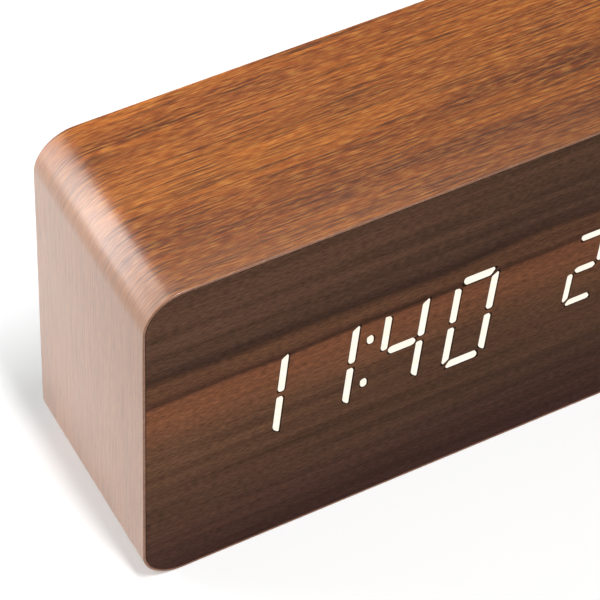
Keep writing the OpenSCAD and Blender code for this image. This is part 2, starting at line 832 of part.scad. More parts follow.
// Springs taper from the plate to the battery; the tube never meets itself
spring_turns = 3.5;
spring_wide = 3.7;
spring_narrow = 2.3;
spring_rings = 8;
spring_end_gap = 0.05;
function spring_point(i) =
  let (
    n = spring_turns * spring_rings,
    t = i / n,
    r = spring_wide + (spring_narrow - spring_wide) * t,
    w = spring_wire_r + spring_end_gap,
    x = w + t * (spring_l - 2 * w)
  )
  [x, r * cos(360 * i / spring_rings), r * sin(360 * i / spring_rings)];
spring_line = [for (i = [0:spring_turns * spring_rings]) spring_point(i)];
spring_self_gap = min([for (i = [0:len(spring_line) - 1], j = [i + 5:1:len(spring_line) - 1])
  norm(spring_line[i] - spring_line[j])]) - 2 * spring_wire_r;
echo(spring_self_gap = spring_self_gap);

module battery_springs() {
  color("#d5d7da")
    for (row = [-1, 0, 1]) {
      way = row == 0 ? -1 : 1;
      translate([tray_x - way * (tray_xh - plate_metal - 0.05), cell_y, mid_z + row * cell_pitch])
        rotate([0, 0, row == 0 ? 180 : 0])
          tube(spring_line, spring_wire_r, 6);
    }
}

// Contact plates: one at each pole of the pack, and two that bridge neighbouring batteries
module contact_plate(way, z0, z1) {
  x = tray_x + way * (tray_xh - plate_metal / 2 - 0.03);
  box([x - plate_metal / 2, tray_floor_y + 0.6, z0], [x + plate_metal / 2, wall_top_y - 1.2, z1]);
}

module contact_tab(way, z) {
  x0 = tray_x + way * (tray_xh - 0.03);
  x1 = tray_x + way * (tray_xh + tray_t + 2);
  y = tray_floor_y + tab_rise;
  box([min(x0, x1), y, z - tab_w / 2], [max(x0, x1), y + plate_metal, z + tab_w / 2]);
}

module battery_plates() {
  color("#cfd2d6") {
    half = cell_r - 0.4;
    contact_plate(-1, mid_z + cell_pitch - half, mid_z + cell_pitch + half);
    contact_tab(-1, mid_z + cell_pitch);
    contact_plate(1, mid_z - half, mid_z + cell_pitch + half);
    contact_plate(-1, mid_z - cell_pitch - half, mid_z + half);
    contact_plate(1, mid_z - cell_pitch - half, mid_z - cell_pitch + half);
    contact_tab(1, mid_z - cell_pitch);
  }
}

// Key board with its switches, inlet, buzzer, sensor, chip, crystal, capacitor and backup cell

module key_board() {
  color("#2f6b45")
    difference() {
      box([key_x - key_w / 2, key_y0, mid_z - key_h / 2], [key_x + key_w / 2, key_y1, mid_z + key_h / 2]);
      for (p = boss_at) {
        bar_y(p[0], p[1], small_screw_r + 0.2, key_y0 - 1, key_y1 + 1);
      }
    }
}

module board_screws() {
  color("#c9ccd1")
    for (p = boss_at) {
      screw(p[0], p[1], key_y0, 1, small_screw_r, 1.9, 1.1, small_screw_l - 0.3);
    }
}

module cap(x) {
  bar_y(x, button_z, stem_r, flange_y1 - flange_t - stem_l, flange_y1 - flange_t + eps);
  bar_y(x, button_z, button_r + flange_w, flange_y1 - flange_t, flange_y1);
  bar_y(x, button_z, button_r, flange_y1 - eps, cover_y1 + button_out);
}

module set_button() {
  color("#3a3c40")
    difference() {
      cap(button_x[0]);
      slab(cover_y1 + button_out - 0.3, cover_y1 + button_out + 1)
        translate([button_x[0], button_z])
          difference() {
            circle(r = 1.5);
            circle(r = 0.8);
          }
    }
}

module arrow_cap(x, way) {
  difference() {
    cap(x);
    slab(cover_y1 + button_out - 0.3, cover_y1 + button_out + 1)
      polygon([for (p = [[-1.5, -0.9], [1.5, -0.9], [0, 1.5]]) [x + p[0], button_z + way * p[1]]]);
  }
}

module up_button() {
  color("#3a3c40")
    arrow_cap(button_x[1], 1);
}

module down_button() {
  color("#3a3c40")
    arrow_cap(button_x[2], -1);
}

module switch_housings() {
  color("#2b2c2e")
    for (x = button_x) {
      difference() {
        box([x - switch_w / 2, key_y1, button_z - switch_w / 2],
          [x + switch_w / 2, switch_y1, button_z + switch_w / 2]);
        bar_y(x, button_z, plunger_r + 0.05, switch_y1 - plunger_in - button_travel - 0.15,
          switch_y1 + 1);
      }
    }
}

module plunger(x) {
  bar_y(x, button_z, plunger_r, switch_y1 - plunger_in, plunger_y1);
}

module set_plunger() {
  color("#55585d")
    plunger(button_x[0]);
}

module up_plunger() {
  color("#55585d")
    plunger(button_x[1]);
}

module down_plunger() {
  color("#55585d")
    plunger(button_x[2]);
}

// Power inlet: a sheet-metal shell with bevelled lower corners, and a moulded tongue in it
function socket_outline(w, h, cut) =
  let (x = w / 2, z = h / 2)
  [[-x, z], [x, z], [x, cut - z], [x - cut, -z], [cut - x, -z], [-x, cut - z]];
socket_metal = 0.3;
insert_gap = 0.02;
hole_w = socket_w - 2 * socket_metal;
hole_h = socket_h - 2 * socket_metal;

module socket_shell() {
  color("#c4c8cc")
    difference() {
      slab(key_y1, socket_y1)
        translate([socket_x, socket_z])
          polygon(socket_outline(socket_w, socket_h, 0.9));
      slab(key_y1 - 1, socket_y1 + 1)
        translate([socket_x, socket_z])
          polygon(socket_outline(hole_w, hole_h, 0.75));
    }
}

module socket_insert() {
  color("#1b1b1c") {
    slab(key_y1, key_y1 + 3)
      translate([socket_x, socket_z])
        polygon(socket_outline(hole_w - 2 * insert_gap, hole_h - 2 * insert_gap, 0.75));
    box([socket_x - hole_w / 4, key_y1 + 2.9, socket_z + 0.15],
      [socket_x + hole_w / 4, socket_y1 - 0.8, socket_z + 0.75]);
  }
}

module buzzer() {
  color("#18191a")
    difference() {
      bar_y(buzzer_x, buzzer_z, buzzer_r, key_y1, key_y1 + buzzer_h);
      bar_y(buzzer_x, buzzer_z, 1.1, key_y1 + buzzer_h - 2, key_y1 + buzzer_h + 1);
    }
}

module temperature_sensor() {
  color("#33506b") {
    bar_y(sensor_x, sensor_z - 4, 1.3, key_y1 + 3, key_y1 + 5.6);
    for (side = [-1, 1]) {
      bar_y(sensor_x + side * 0.7, sensor_z - 4, 0.25, key_y1, key_y1 + 3.1);
    }
  }
}

module backup_holder() {
  color("#d8d4c8")
    difference() {
      bar_y(coin_x, coin_z, coin_r + holder_wall, key_y0 - holder_t - coin_t + 0.4, key_y0);
      bar_y(coin_x, coin_z, coin_r + 0.1, key_y0 - holder_t - coin_t - 1, key_y0 - holder_t);
      box([coin_x - coin_r / 2, key_y0 - 9, coin_z + coin_r - 2],
        [coin_x + coin_r / 2, key_y0 - holder_t, coin_z + coin_r + 3]);
    }
}

module backup_cell() {
  color("#c9ccd1") {
    bar_y(coin_x, coin_z, coin_r, key_y0 - holder_t - coin_t + 0.7, key_y0 - holder_t);
    bar_y(coin_x, coin_z, coin_r - 1.4, key_y0 - holder_t - coin_t, key_y0 - holder_t - 0.5);
  }
}

module clock_chip() {
  color("#26282b") {
    x = key_x - 1;
    z = mid_z - 12;
    y = key_y0 - leg_rise;
    legs = floor((chip_l + leg_w) / leg_pitch);
    box([x - chip_l / 2, y - chip_t, z - chip_w / 2], [x + chip_l / 2, y, z + chip_w / 2]);
    for (i = [0:legs - 1], side = [-1, 1]) {
      leg(x + (i - (legs - 1) / 2) * leg_pitch, key_y0 - leg_h, z + side * chip_w / 2);
    }
  }
}

module crystal() {
  color("#b9bdc3")
    translate([key_right - 10, key_y0 - 1.5, mid_z - 14])
      rotate([0, 90, 0])
        cylinder(r = 1.5, h = 7, center = true);
}

module capacitor() {
  color("#2c3644")
    bar_y(key_left + 12, mid_z + 13, 3.1, key_y0 - 7, key_y0);
}

// Ribbon: out of the display header, down behind the board, and into the key board header
ribbon_y0 = display_board_y1 + header_l - 1;
ribbon_y1 = key_y0 - header_l + 1;
ribbon_ym = (ribbon_y0 + ribbon_y1) / 2;
ribbon_bend = min(2.4, (ribbon_y1 - ribbon_y0) / 2 - 0.6);
function arc_points(y, z, r, from, to) =
  [for (i = [0:6]) let (a = from + (to - from) * i / 6) [y + r * cos(a), z + r * sin(a)]];
function ribbon_side(off) =
  let (rb = ribbon_bend)
  concat(
    [[ribbon_y0, face_header_z + off]],
    arc_points(ribbon_ym - rb, face_header_z - rb, rb + off, 90, 0),
    arc_points(ribbon_ym + rb, key_header_z + rb, rb - off, 180, 270),
    [[ribbon_y1, key_header_z + off]]
  );
function reversed(p) = [for (i = [len(p) - 1:-1:0]) p[i]];

module ribbon_cable() {
  color("#8f949b")
    translate([header_x - header_w / 2 + ribbon_in, 0, 0])
      rotate([90, 0, 90])
        linear_extrude(header_w - 2 * ribbon_in)
          polygon(concat(ribbon_side(ribbon_t / 2), reversed(ribbon_side(-ribbon_t / 2))));
}

module header(y0, y1, slot_y, z) {
  difference() {
    box([header_x - header_w / 2, y0, z - header_h / 2], [header_x + header_w / 2, y1, z + header_h / 2]);
    box([header_x - header_w / 2 + ribbon_in - 0.05, slot_y - 1, z - ribbon_t / 2 - 0.03],
      [header_x + header_w / 2 - ribbon_in + 0.05, slot_y + 1, z + ribbon_t / 2 + 0.03]);
  }
}

module ribbon_headers() {
  color("#ece9e0") {
    header(display_board_y1, display_board_y1 + header_l, display_board_y1 + header_l, face_header_z);
    header(key_y0 - header_l, key_y0, key_y0 - header_l, key_header_z);
  }
}

// Leads from the two poles of the battery pack to the key board
lead_y = tray_floor_y - tray_t - lead_r - 0.1;
lead_left_x = tray_x - tray_xh - tray_t - 1.2;
lead_right_x = tray_x + tray_xh + tray_t + 1.2;
lead_tab_y = tray_floor_y + tab_rise - lead_r - 0.02;
lead_turn_x = tray_x + tray_xh + tray_t + 2;
pad_x = key_left + 4;
lead_end_y = key_y0 - lead_r - 0.02;
function rounded(points, r) =
  let (n = len(points))
  concat(
    [points[0]],
    [for (i = [1:n - 2])
      let (
        p = points[i],
        u = (points[i - 1] - p) / norm(points[i - 1] - p),
        v = (points[i + 1] - p) / norm(points[i + 1] - p)
      )
      for (t = [0, 0.2, 0.4, 0.6, 0.8, 1])
        p + u * r * pow(1 - t, 2) + v * r * pow(t, 2)],
    [points[n - 1]]
  );

module battery_leads() {
  color("#b3261e") {
    z1 = mid_z + cell_pitch;
    z2 = mid_z - cell_pitch;
    tube(rounded([
      [lead_left_x, lead_tab_y, z1 + 1],
      [lead_left_x, lead_tab_y, z1 - 2],
      [lead_left_x, lead_y, z1 - 2],
      [lead_turn_x, lead_y, z1 - 2],
      [lead_turn_x, lead_end_y, z1 - 2],
      [pad_x, lead_end_y, z1 - 2]
    ], 1.2), lead_r, 8);
    tube(rounded([
      [lead_right_x, lead_tab_y, z2 - 1],
      [lead_right_x, lead_tab_y, z2 + 2],
      [lead_right_x, lead_end_y, z2 + 2],
      [pad_x, lead_end_y, z2 + 2]
    ], 1), lead_r, 8);
  }
}

veneer_wrap();
base_sheet();
front_veneer();
lit_segments();
case_shell();
diffuser_sheet();
segment_reflector();
display_board();
segment_lamps();
display_screws();
driver_chip();
back_cover();
cover_screws();
battery_door();
battery_top();
battery_middle();
battery_bottom();
battery_springs();
battery_plates();
key_board();
board_screws();
set_button();
up_button();
down_button();
switch_housings();
set_plunger();
up_plunger();
down_plunger();
socket_shell();
socket_insert();
buzzer();
temperature_sensor();
backup_holder();
backup_cell();
clock_chip();
crystal();
capacitor();
ribbon_cable();
ribbon_headers();
battery_leads();
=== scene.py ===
import json
import math

import bmesh
import bpy
from mathutils import Matrix, Quaternion, Vector

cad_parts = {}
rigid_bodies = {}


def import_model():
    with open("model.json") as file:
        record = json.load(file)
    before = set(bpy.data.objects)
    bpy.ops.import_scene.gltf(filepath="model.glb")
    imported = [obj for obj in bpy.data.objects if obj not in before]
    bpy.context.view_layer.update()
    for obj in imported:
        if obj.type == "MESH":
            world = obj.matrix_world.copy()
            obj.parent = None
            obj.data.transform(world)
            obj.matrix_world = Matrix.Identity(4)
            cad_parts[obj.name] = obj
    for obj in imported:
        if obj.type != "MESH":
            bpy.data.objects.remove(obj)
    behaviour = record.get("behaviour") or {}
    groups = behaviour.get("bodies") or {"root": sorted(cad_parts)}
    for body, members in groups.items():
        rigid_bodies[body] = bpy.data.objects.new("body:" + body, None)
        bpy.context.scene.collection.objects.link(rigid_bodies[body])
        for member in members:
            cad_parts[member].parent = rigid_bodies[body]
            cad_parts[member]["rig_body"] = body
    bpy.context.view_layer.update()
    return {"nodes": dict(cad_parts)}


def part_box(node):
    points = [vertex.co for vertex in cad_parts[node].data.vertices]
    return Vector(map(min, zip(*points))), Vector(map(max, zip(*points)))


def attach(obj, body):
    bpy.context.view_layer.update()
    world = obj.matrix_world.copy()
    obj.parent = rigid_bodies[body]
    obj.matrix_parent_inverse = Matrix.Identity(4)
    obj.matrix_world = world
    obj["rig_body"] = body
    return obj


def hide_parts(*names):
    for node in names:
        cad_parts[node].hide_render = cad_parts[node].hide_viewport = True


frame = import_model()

MM = 0.001
nodes = frame["nodes"]

# Sizes of the wrapped case, in metres; wrap_end is how far each end of the sheet stops short of the flat base
case_low, case_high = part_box("veneer_wrap")
case_w = case_high.x - case_low.x
case_h = case_high.z
case_d = case_high.y - case_low.y
corner_r = 7.2 * MM
arris_r = 0.16 * MM
wrap_t = 0.5 * MM
wrap_end = 0.45 * MM


# Small helpers

def linear(colour):
    """An sRGB hex colour as linear RGBA."""
    parts = [int(colour[i:i + 2], 16) / 255 for i in (1, 3, 5)]
    return tuple(c / 12.92 if c <= 0.04045 else ((c + 0.055) / 1.055) ** 2.4 for c in parts) + (1.0,)


def add(tree, kind, links=None, stops=None, **settings):
    """Adds a node: settings are its properties, links its sockets' values or the sockets that feed them."""
    node = tree.nodes.new(kind)
    for name, value in settings.items():
        setattr(node, name, value)
    for name, value in (links or {}).items():
        if isinstance(value, bpy.types.NodeSocket):
            tree.links.new(value, node.inputs[name])
        else:
            node.inputs[name].default_value = value
    if stops:
        ramp = node.color_ramp.elements
        while len(ramp) < len(stops):
            ramp.new(0.5)
        for element, (place, colour) in zip(ramp, stops):
            element.position = place
            element.color = linear(colour)
    return node


def finish_start(name):
    """A new material with its tree, its surface shader and the piece's Object coordinates in millimetres."""
    material = bpy.data.materials.new(name)
    material.use_nodes = True
    tree = material.node_tree
    tree.nodes.clear()
    shader = add(tree, "ShaderNodeBsdfPrincipled")
    add(tree, "ShaderNodeOutputMaterial", {"Surface": shader.outputs[0]})
    place = add(tree, "ShaderNodeTexCoord")
    mm = add(tree, "ShaderNodeVectorMath", {0: place.outputs["Object"], "Scale": 1 / MM}, operation="SCALE")
    return material, tree, shader, mm.outputs[0]


def link_new(name, mesh):
    """A new object in the scene, at the origin."""
    piece = bpy.data.objects.new(name, mesh)
    bpy.context.scene.collection.objects.link(piece)
    return piece


def plain_mesh(piece):
    """The piece's evaluated shape becomes its own plain mesh, and its modifiers go."""
    bpy.context.view_layer.update()
    shape = bpy.data.meshes.new_from_object(piece.evaluated_get(bpy.context.evaluated_depsgraph_get()))
    piece.modifiers.clear()
    piece.data = shape
    shape.name = piece.name
    return piece


def smooth(piece, degrees):
    """Smooth shading, with the edges that turn by more than the angle kept sharp."""
    piece.data.shade_smooth()
    piece.data.set_sharp_from_angle(angle=math.radians(degrees))


def paint(piece, material):
    """One material for the whole piece."""
    piece.data.materials.clear()
    piece.data.materials.append(material)


# Wood

# one satin lacquer lies on the wrap and on its cut edge
lacquer_ior, lacquer_rough = 1.9, 0.36


def walnut_wrap():
    """Walnut veneer, sliced along the grain and satin lacquered: warm orange-brown bands, dark pores in
    hairlines along the grain, and a skin of lacquer that pales where it is seen edge on. Round the rounded
    edges and on the ends a painted sheen washes the figure out to an even, paler golden brown. The sheet's
    own attribute runs along the grain in X and across it in Y, in millimetres."""
    material, tree, shader, mm = finish_start("walnut veneer, satin lacquered")
    grain = add(tree, "ShaderNodeAttribute", attribute_name="grain_mm").outputs["Vector"]
    # bands about 7 mm across and 90 mm long
    band = add(tree, "ShaderNodeMapping", {
        "Vector": grain, "Scale": (1 / 90, 1 / 7, 1), "Location": (5.5, 12.3, 0)})
    figure = add(tree, "ShaderNodeTexNoise", {
        "Vector": band.outputs[0], "Scale": 1, "Detail": 3, "Roughness": 0.55, "Distortion": 0.4})
    colour = add(tree, "ShaderNodeValToRGB", {"Fac": figure.outputs["Fac"]},
                 stops=[(0.30, "#793b15"), (0.44, "#914a18"), (0.55, "#a0551a"), (0.70, "#b06321")])
    # redder clouds about 40 mm long and 12 mm across
    cloud = add(tree, "ShaderNodeMapping", {
        "Vector": grain, "Scale": (1 / 40, 1 / 12, 1), "Location": (7, 3, 0)})
    clouds = add(tree, "ShaderNodeTexNoise", {"Vector": cloud.outputs[0], "Scale": 1, "Detail": 2})
    cloudy = add(tree, "ShaderNodeMapRange", {
        "Value": clouds.outputs["Fac"], "From Min": 0.45, "From Max": 0.75, "To Min": 0, "To Max": 0.5})
    toned = add(tree, "ShaderNodeMix", {
        "Factor": cloudy.outputs[0], 6: colour.outputs[0], 7: linear("#8a4d2a")}, data_type="RGBA")
    # streaks about 1.4 mm across and 45 mm long
    streak = add(tree, "ShaderNodeMapping", {"Vector": grain, "Scale": (1 / 45, 1 / 1.4, 1)})
    streaks = add(tree, "ShaderNodeTexNoise", {
        "Vector": streak.outputs[0], "Scale": 1, "Detail": 3, "Roughness": 0.7})
    light = add(tree, "ShaderNodeMapRange", {
        "Value": streaks.outputs["Fac"], "From Min": 0.3, "From Max": 0.7, "To Min": 0.8, "To Max": 1.22})
    # pores: hairlines about 16 mm long, drawn 0.32 mm wide because real ones (0.1 mm) would not show
    pore = add(tree, "ShaderNodeMapping", {"Vector": grain, "Scale": (1 / 16, 1 / 0.32, 1)})
    pores = add(tree, "ShaderNodeTexNoise", {
        "Vector": pore.outputs[0], "Scale": 1, "Detail": 2, "Roughness": 0.6})
    open_pores = add(tree, "ShaderNodeMapRange", {
        "Value": pores.outputs["Fac"], "From Min": 0.5, "From Max": 0.64, "To Min": 1, "To Max": 0.38})
    # fibres about 2.6 mm long, also drawn wider than they are, at 0.3 mm: pale ones, and dark ticks between
    fleck = add(tree, "ShaderNodeMapping", {
        "Vector": grain, "Scale": (1 / 2.6, 1 / 0.3, 1), "Location": (0, 9, 0)})
    flecks = add(tree, "ShaderNodeTexNoise", {"Vector": fleck.outputs[0], "Scale": 1, "Detail": 2})
    pale = add(tree, "ShaderNodeMapRange", {
        "Value": flecks.outputs["Fac"], "From Min": 0.48, "From Max": 0.72, "To Min": 0, "To Max": 0.5})
    ticks = add(tree, "ShaderNodeMapRange", {
        "Value": flecks.outputs["Fac"], "From Min": 0.3, "From Max": 0.5, "To Min": 0.62, "To Max": 1})
    flecked = add(tree, "ShaderNodeMix", {
        "Factor": pale.outputs[0], 6: toned.outputs[2], 7: linear("#cf9345")}, data_type="RGBA")
    # darker along the top from its left end to its right, and darker towards the front
    along = add(tree, "ShaderNodeSeparateXYZ", {0: grain})
    drift = add(tree, "ShaderNodeMapRange", {
        "Value": along.outputs["X"], "From Min": 90, "From Max": 190, "To Min": 1.04, "To Max": 0.85})
    spot = add(tree, "ShaderNodeSeparateXYZ", {0: mm})
    front_drift = add(tree, "ShaderNodeMapRange", {
        "Value": spot.outputs["Y"], "From Min": case_low.y / MM, "From Max": case_high.y / MM, "To Min": 0.78,
        "To Max": 1.16})
    drifts = add(tree, "ShaderNodeMath", {0: drift.outputs[0], 1: front_drift.outputs[0]},
                 operation="MULTIPLY")
    lines = add(tree, "ShaderNodeMath", {0: light.outputs[0], 1: open_pores.outputs[0]}, operation="MULTIPLY")
    ticked = add(tree, "ShaderNodeMath", {0: lines.outputs[0], 1: ticks.outputs[0]}, operation="MULTIPLY")
    full_shade = add(tree, "ShaderNodeMath", {0: ticked.outputs[0], 1: drifts.outputs[0]},
                     operation="MULTIPLY")
    # painted sheen: round the two rounded edges, and all over the ends, the figure is washed out towards an
    # even, paler golden brown that stands in for the lacquer's sheen there
    aside = add(tree, "ShaderNodeMath", {0: spot.outputs["X"]}, operation="ABSOLUTE")
    end_mm = case_w / 2 / MM
    painted_sheen_calm = add(tree, "ShaderNodeMapRange", {
        "Value": aside.outputs[0], "From Min": end_mm - 5.5, "From Max": end_mm, "To Min": 1.0,
        "To Max": 0.35})
    # painted sheen: on the ends the shade is held near an even 0.95 and the colour is mostly an even, paler
    # golden brown
    shade = add(tree, "ShaderNodeMix", {"Factor": painted_sheen_calm.outputs[0], 2: 0.95, 3: full_shade.outputs[0]},
                data_type="FLOAT")
    painted_sheen_evened = add(tree, "ShaderNodeMix", {
        "Factor": painted_sheen_calm.outputs[0], 6: linear("#9a6026"), 7: flecked.outputs[2]}, data_type="RGBA")
    wood = add(tree, "ShaderNodeMix", {"Factor": 1.0, 6: painted_sheen_evened.outputs[2], 7: shade.outputs[0]},
               data_type="RGBA", blend_type="MULTIPLY")
    bump = add(tree, "ShaderNodeBump", {
        "Height": open_pores.outputs[0], "Strength": 0.3, "Distance": 0.03 * MM})
    rough = add(tree, "ShaderNodeMapRange", {
        "Value": open_pores.outputs[0], "From Min": 0.4, "From Max": 1, "To Min": 0.55, "To Max": 0.42})
    tree.links.new(wood.outputs[2], shader.inputs["Base Color"])
    tree.links.new(rough.outputs[0], shader.inputs["Roughness"])
    tree.links.new(bump.outputs[0], shader.inputs["Normal"])
    tree.links.new(bump.outputs[0], shader.inputs["Coat Normal"])
    shader.inputs["Specular IOR Level"].default_value = 0.35
    shader.inputs["Coat Weight"].default_value = 1.0
    shader.inputs["Coat IOR"].default_value = lacquer_ior
    shader.inputs["Coat Roughness"].default_value = lacquer_rough
    return material


def cut_edge():
    """The sliced edge of the veneer round the front: brown wood with its fibres end on, under a thin wipe of
    the same lacquer, which catches the light along the arris."""
    material, tree, shader, mm = finish_start("walnut veneer, cut edge")
    # fibre ends, drawn about 0.6 mm across because real ones (0.05 mm) would not show
    fibre = add(tree, "ShaderNodeTexNoise", {"Vector": mm, "Scale": 1 / 0.625, "Detail": 3})
    colour = add(tree, "ShaderNodeValToRGB", {"Fac": fibre.outputs["Fac"]},
                 stops=[(0.35, "#7b4826"), (0.65, "#965f37")])
    bump = add(tree, "ShaderNodeBump", {
        "Height": fibre.outputs["Fac"], "Strength": 0.2, "Distance": 0.03 * MM})
    tree.links.new(colour.outputs[0], shader.inputs["Base Color"])
    tree.links.new(bump.outputs[0], shader.inputs["Normal"])
    shader.inputs["Roughness"].default_value = 0.55
    shader.inputs["Coat Weight"].default_value = 0.3
    shader.inputs["Coat IOR"].default_value = lacquer_ior
    shader.inputs["Coat Roughness"].default_value = lacquer_rough
    return material


def dark_walnut():
    """Dark walnut veneer, oiled and left open-pored: brown bands along the front, the reddest
    behind the time, fine streaks, and pores that speckle it. Painted shade darkens the pockets round the lit
    areas. Hardly any gloss."""
    material, tree, shader, mm = finish_start("dark walnut veneer, oiled")
    # the bands wander by a millimetre or so over the length of the front; the noise has its mean at a half
    sway = 6.0
    slow = add(tree, "ShaderNodeMapping", {
        "Vector": mm, "Scale": (1 / 60, 1, 1 / 14), "Location": (2.3, 0, 1.1)})
    wander = add(tree, "ShaderNodeTexNoise", {"Vector": slow.outputs[0], "Scale": 1, "Detail": 3})
    split = add(tree, "ShaderNodeSeparateXYZ", {0: mm})
    moved = add(tree, "ShaderNodeMath", {0: wander.outputs["Fac"], 1: sway, 2: split.outputs["Z"]},
                operation="MULTIPLY_ADD")
    across = add(tree, "ShaderNodeMapRange", {
        "Value": moved.outputs[0], "From Min": sway / 2, "From Max": sway / 2 + case_h / MM})
    # from the base up, with a red band near the top of the time and two thin dark seams above it
    bands = add(tree, "ShaderNodeValToRGB", {"Fac": across.outputs[0]},
                stops=[(0.0, "#4e312b"), (0.25, "#634535"), (0.46, "#73503a"), (0.595, "#966042"),
                       (0.64, "#8d593d"), (0.656, "#553628"), (0.675, "#6f4a35"), (0.71, "#79523a"),
                       (0.733, "#4c3327"), (0.76, "#614435"), (1.0, "#6d4d3a")])
    # streaks about 2.4 mm apart and 70 mm long
    streak = add(tree, "ShaderNodeMapping", {"Vector": mm, "Scale": (1 / 70, 1, 1 / 2.4)})
    streaks = add(tree, "ShaderNodeTexNoise", {
        "Vector": streak.outputs[0], "Scale": 1, "Detail": 4, "Roughness": 0.72, "Distortion": 0.2})
    light = add(tree, "ShaderNodeMapRange", {
        "Value": streaks.outputs["Fac"], "From Min": 0.3, "From Max": 0.7, "To Min": 0.57, "To Max": 1.17})
    # pores: ticks about 1.2 mm long, drawn 0.3 mm wide so that they show
    pore = add(tree, "ShaderNodeMapping", {"Vector": mm, "Scale": (1 / 1.2, 1, 1 / 0.3)})
    pores = add(tree, "ShaderNodeTexNoise", {"Vector": pore.outputs[0], "Scale": 1, "Detail": 2})
    speckle = add(tree, "ShaderNodeMapRange", {
        "Value": pores.outputs["Fac"], "From Min": 0.33, "From Max": 0.67, "To Min": 1.28, "To Max": 0.68})
    # the front darkens a little from its left end to the middle
    drift = add(tree, "ShaderNodeMapRange", {
        "Value": split.outputs["X"], "From Min": -60, "From Max": 0, "To Min": 1.0, "To Max": 0.82})
    # painted shade: the walls of the pockets that hold the lit areas are darkened, standing in for the shadow
    # in the gap round each, which draws a dark line round each
    face_mm = case_low.y / MM
    painted_pocket_shade = add(tree, "ShaderNodeMapRange", {
        "Value": split.outputs["Y"], "From Min": face_mm + 0.03, "From Max": face_mm + 0.06,
        "To Min": drift.outputs[0], "To Max": 0.2})
    lines = add(tree, "ShaderNodeMath", {0: light.outputs[0], 1: speckle.outputs[0]}, operation="MULTIPLY")
    shade = add(tree, "ShaderNodeMath", {0: lines.outputs[0], 1: painted_pocket_shade.outputs[0]}, operation="MULTIPLY")
    wood = add(tree, "ShaderNodeMix", {"Factor": 1.0, 6: bands.outputs[0], 7: shade.outputs[0]},
               data_type="RGBA", blend_type="MULTIPLY")
    bump = add(tree, "ShaderNodeBump", {
        "Height": speckle.outputs[0], "Strength": 0.4, "Distance": 0.04 * MM})
    tree.links.new(wood.outputs[2], shader.inputs["Base Color"])
    tree.links.new(bump.outputs[0], shader.inputs["Normal"])
    shader.inputs["Roughness"].default_value = 0.75
    shader.inputs["Specular IOR Level"].default_value = 0.06
    return material


def lit_veneer():
    """Veneer thinned until the lamps behind shine through: an even cream glow, with the grain as a
    faint shade in it."""
    material, tree, shader, mm = finish_start("veneer thinned and lit from behind")
    # fibres about 9 mm long, drawn 0.8 mm wide so that they show
    grain = add(tree, "ShaderNodeMapping", {"Vector": mm, "Scale": (1 / 9, 1, 1 / 0.8)})
    fibre = add(tree, "ShaderNodeTexNoise", {"Vector": grain.outputs[0], "Scale": 1, "Detail": 2})
    glow = add(tree, "ShaderNodeValToRGB", {"Fac": fibre.outputs["Fac"]},
               stops=[(0.3, "#fbf2de"), (0.7, "#fffaf0")])
    tree.links.new(glow.outputs[0], shader.inputs["Emission Color"])
    shader.inputs["Base Color"].default_value = linear("#3a2f24")
    shader.inputs["Emission Strength"].default_value = 1.0
    shader.inputs["Roughness"].default_value = 0.5
    return material


def fibreboard():
    """Medium-density fibreboard, routed and left raw: tan felted fibres, matt and slightly furry."""
    material, tree, shader, mm = finish_start("fibreboard, routed raw")
    # flocks of fibre about 0.8 mm across
    flock = add(tree, "ShaderNodeTexNoise", {"Vector": mm, "Scale": 1.3, "Detail": 6, "Roughness": 0.7})
    colour = add(tree, "ShaderNodeValToRGB", {"Fac": flock.outputs["Fac"]},
                 stops=[(0.3, "#7d5d3f"), (0.5, "#9c7a56"), (0.72, "#b7966f")])
    bump = add(tree, "ShaderNodeBump", {
        "Height": flock.outputs["Fac"], "Strength": 0.5, "Distance": 0.1 * MM})
    tree.links.new(colour.outputs[0], shader.inputs["Base Color"])
    tree.links.new(bump.outputs[0], shader.inputs["Normal"])
    shader.inputs["Roughness"].default_value = 0.85
    return material


# Mouldings, metals and the parts inside

def moulded(name, dark, light, grain, depth, rough):
    """A moulded plastic whose skin copies the mould: grain is the texture's pitch and depth how deep it is,
    in millimetres. The tone varies a little, over about 20 mm, and the grain's edges catch the light."""
    material, tree, shader, mm = finish_start(name)
    skin = add(tree, "ShaderNodeTexNoise", {"Vector": mm, "Scale": 1 / grain, "Detail": 3, "Roughness": 0.6})
    flow = add(tree, "ShaderNodeTexNoise", {"Vector": mm, "Scale": 1 / 20, "Detail": 2})
    both = add(tree, "ShaderNodeMath", {0: skin.outputs["Fac"], 1: 0.5, 2: flow.outputs["Fac"]},
               operation="MULTIPLY_ADD")
    colour = add(tree, "ShaderNodeValToRGB", {"Fac": both.outputs[0]}, stops=[(0.55, dark), (0.95, light)])
    dull = add(tree, "ShaderNodeMapRange", {
        "Value": skin.outputs["Fac"], "To Min": rough - 0.08, "To Max": rough + 0.08})
    bump = add(tree, "ShaderNodeBump", {
        "Height": skin.outputs["Fac"], "Strength": 0.5, "Distance": depth * MM})
    tree.links.new(colour.outputs[0], shader.inputs["Base Color"])
    tree.links.new(dull.outputs[0], shader.inputs["Roughness"])
    tree.links.new(bump.outputs[0], shader.inputs["Normal"])
    return material


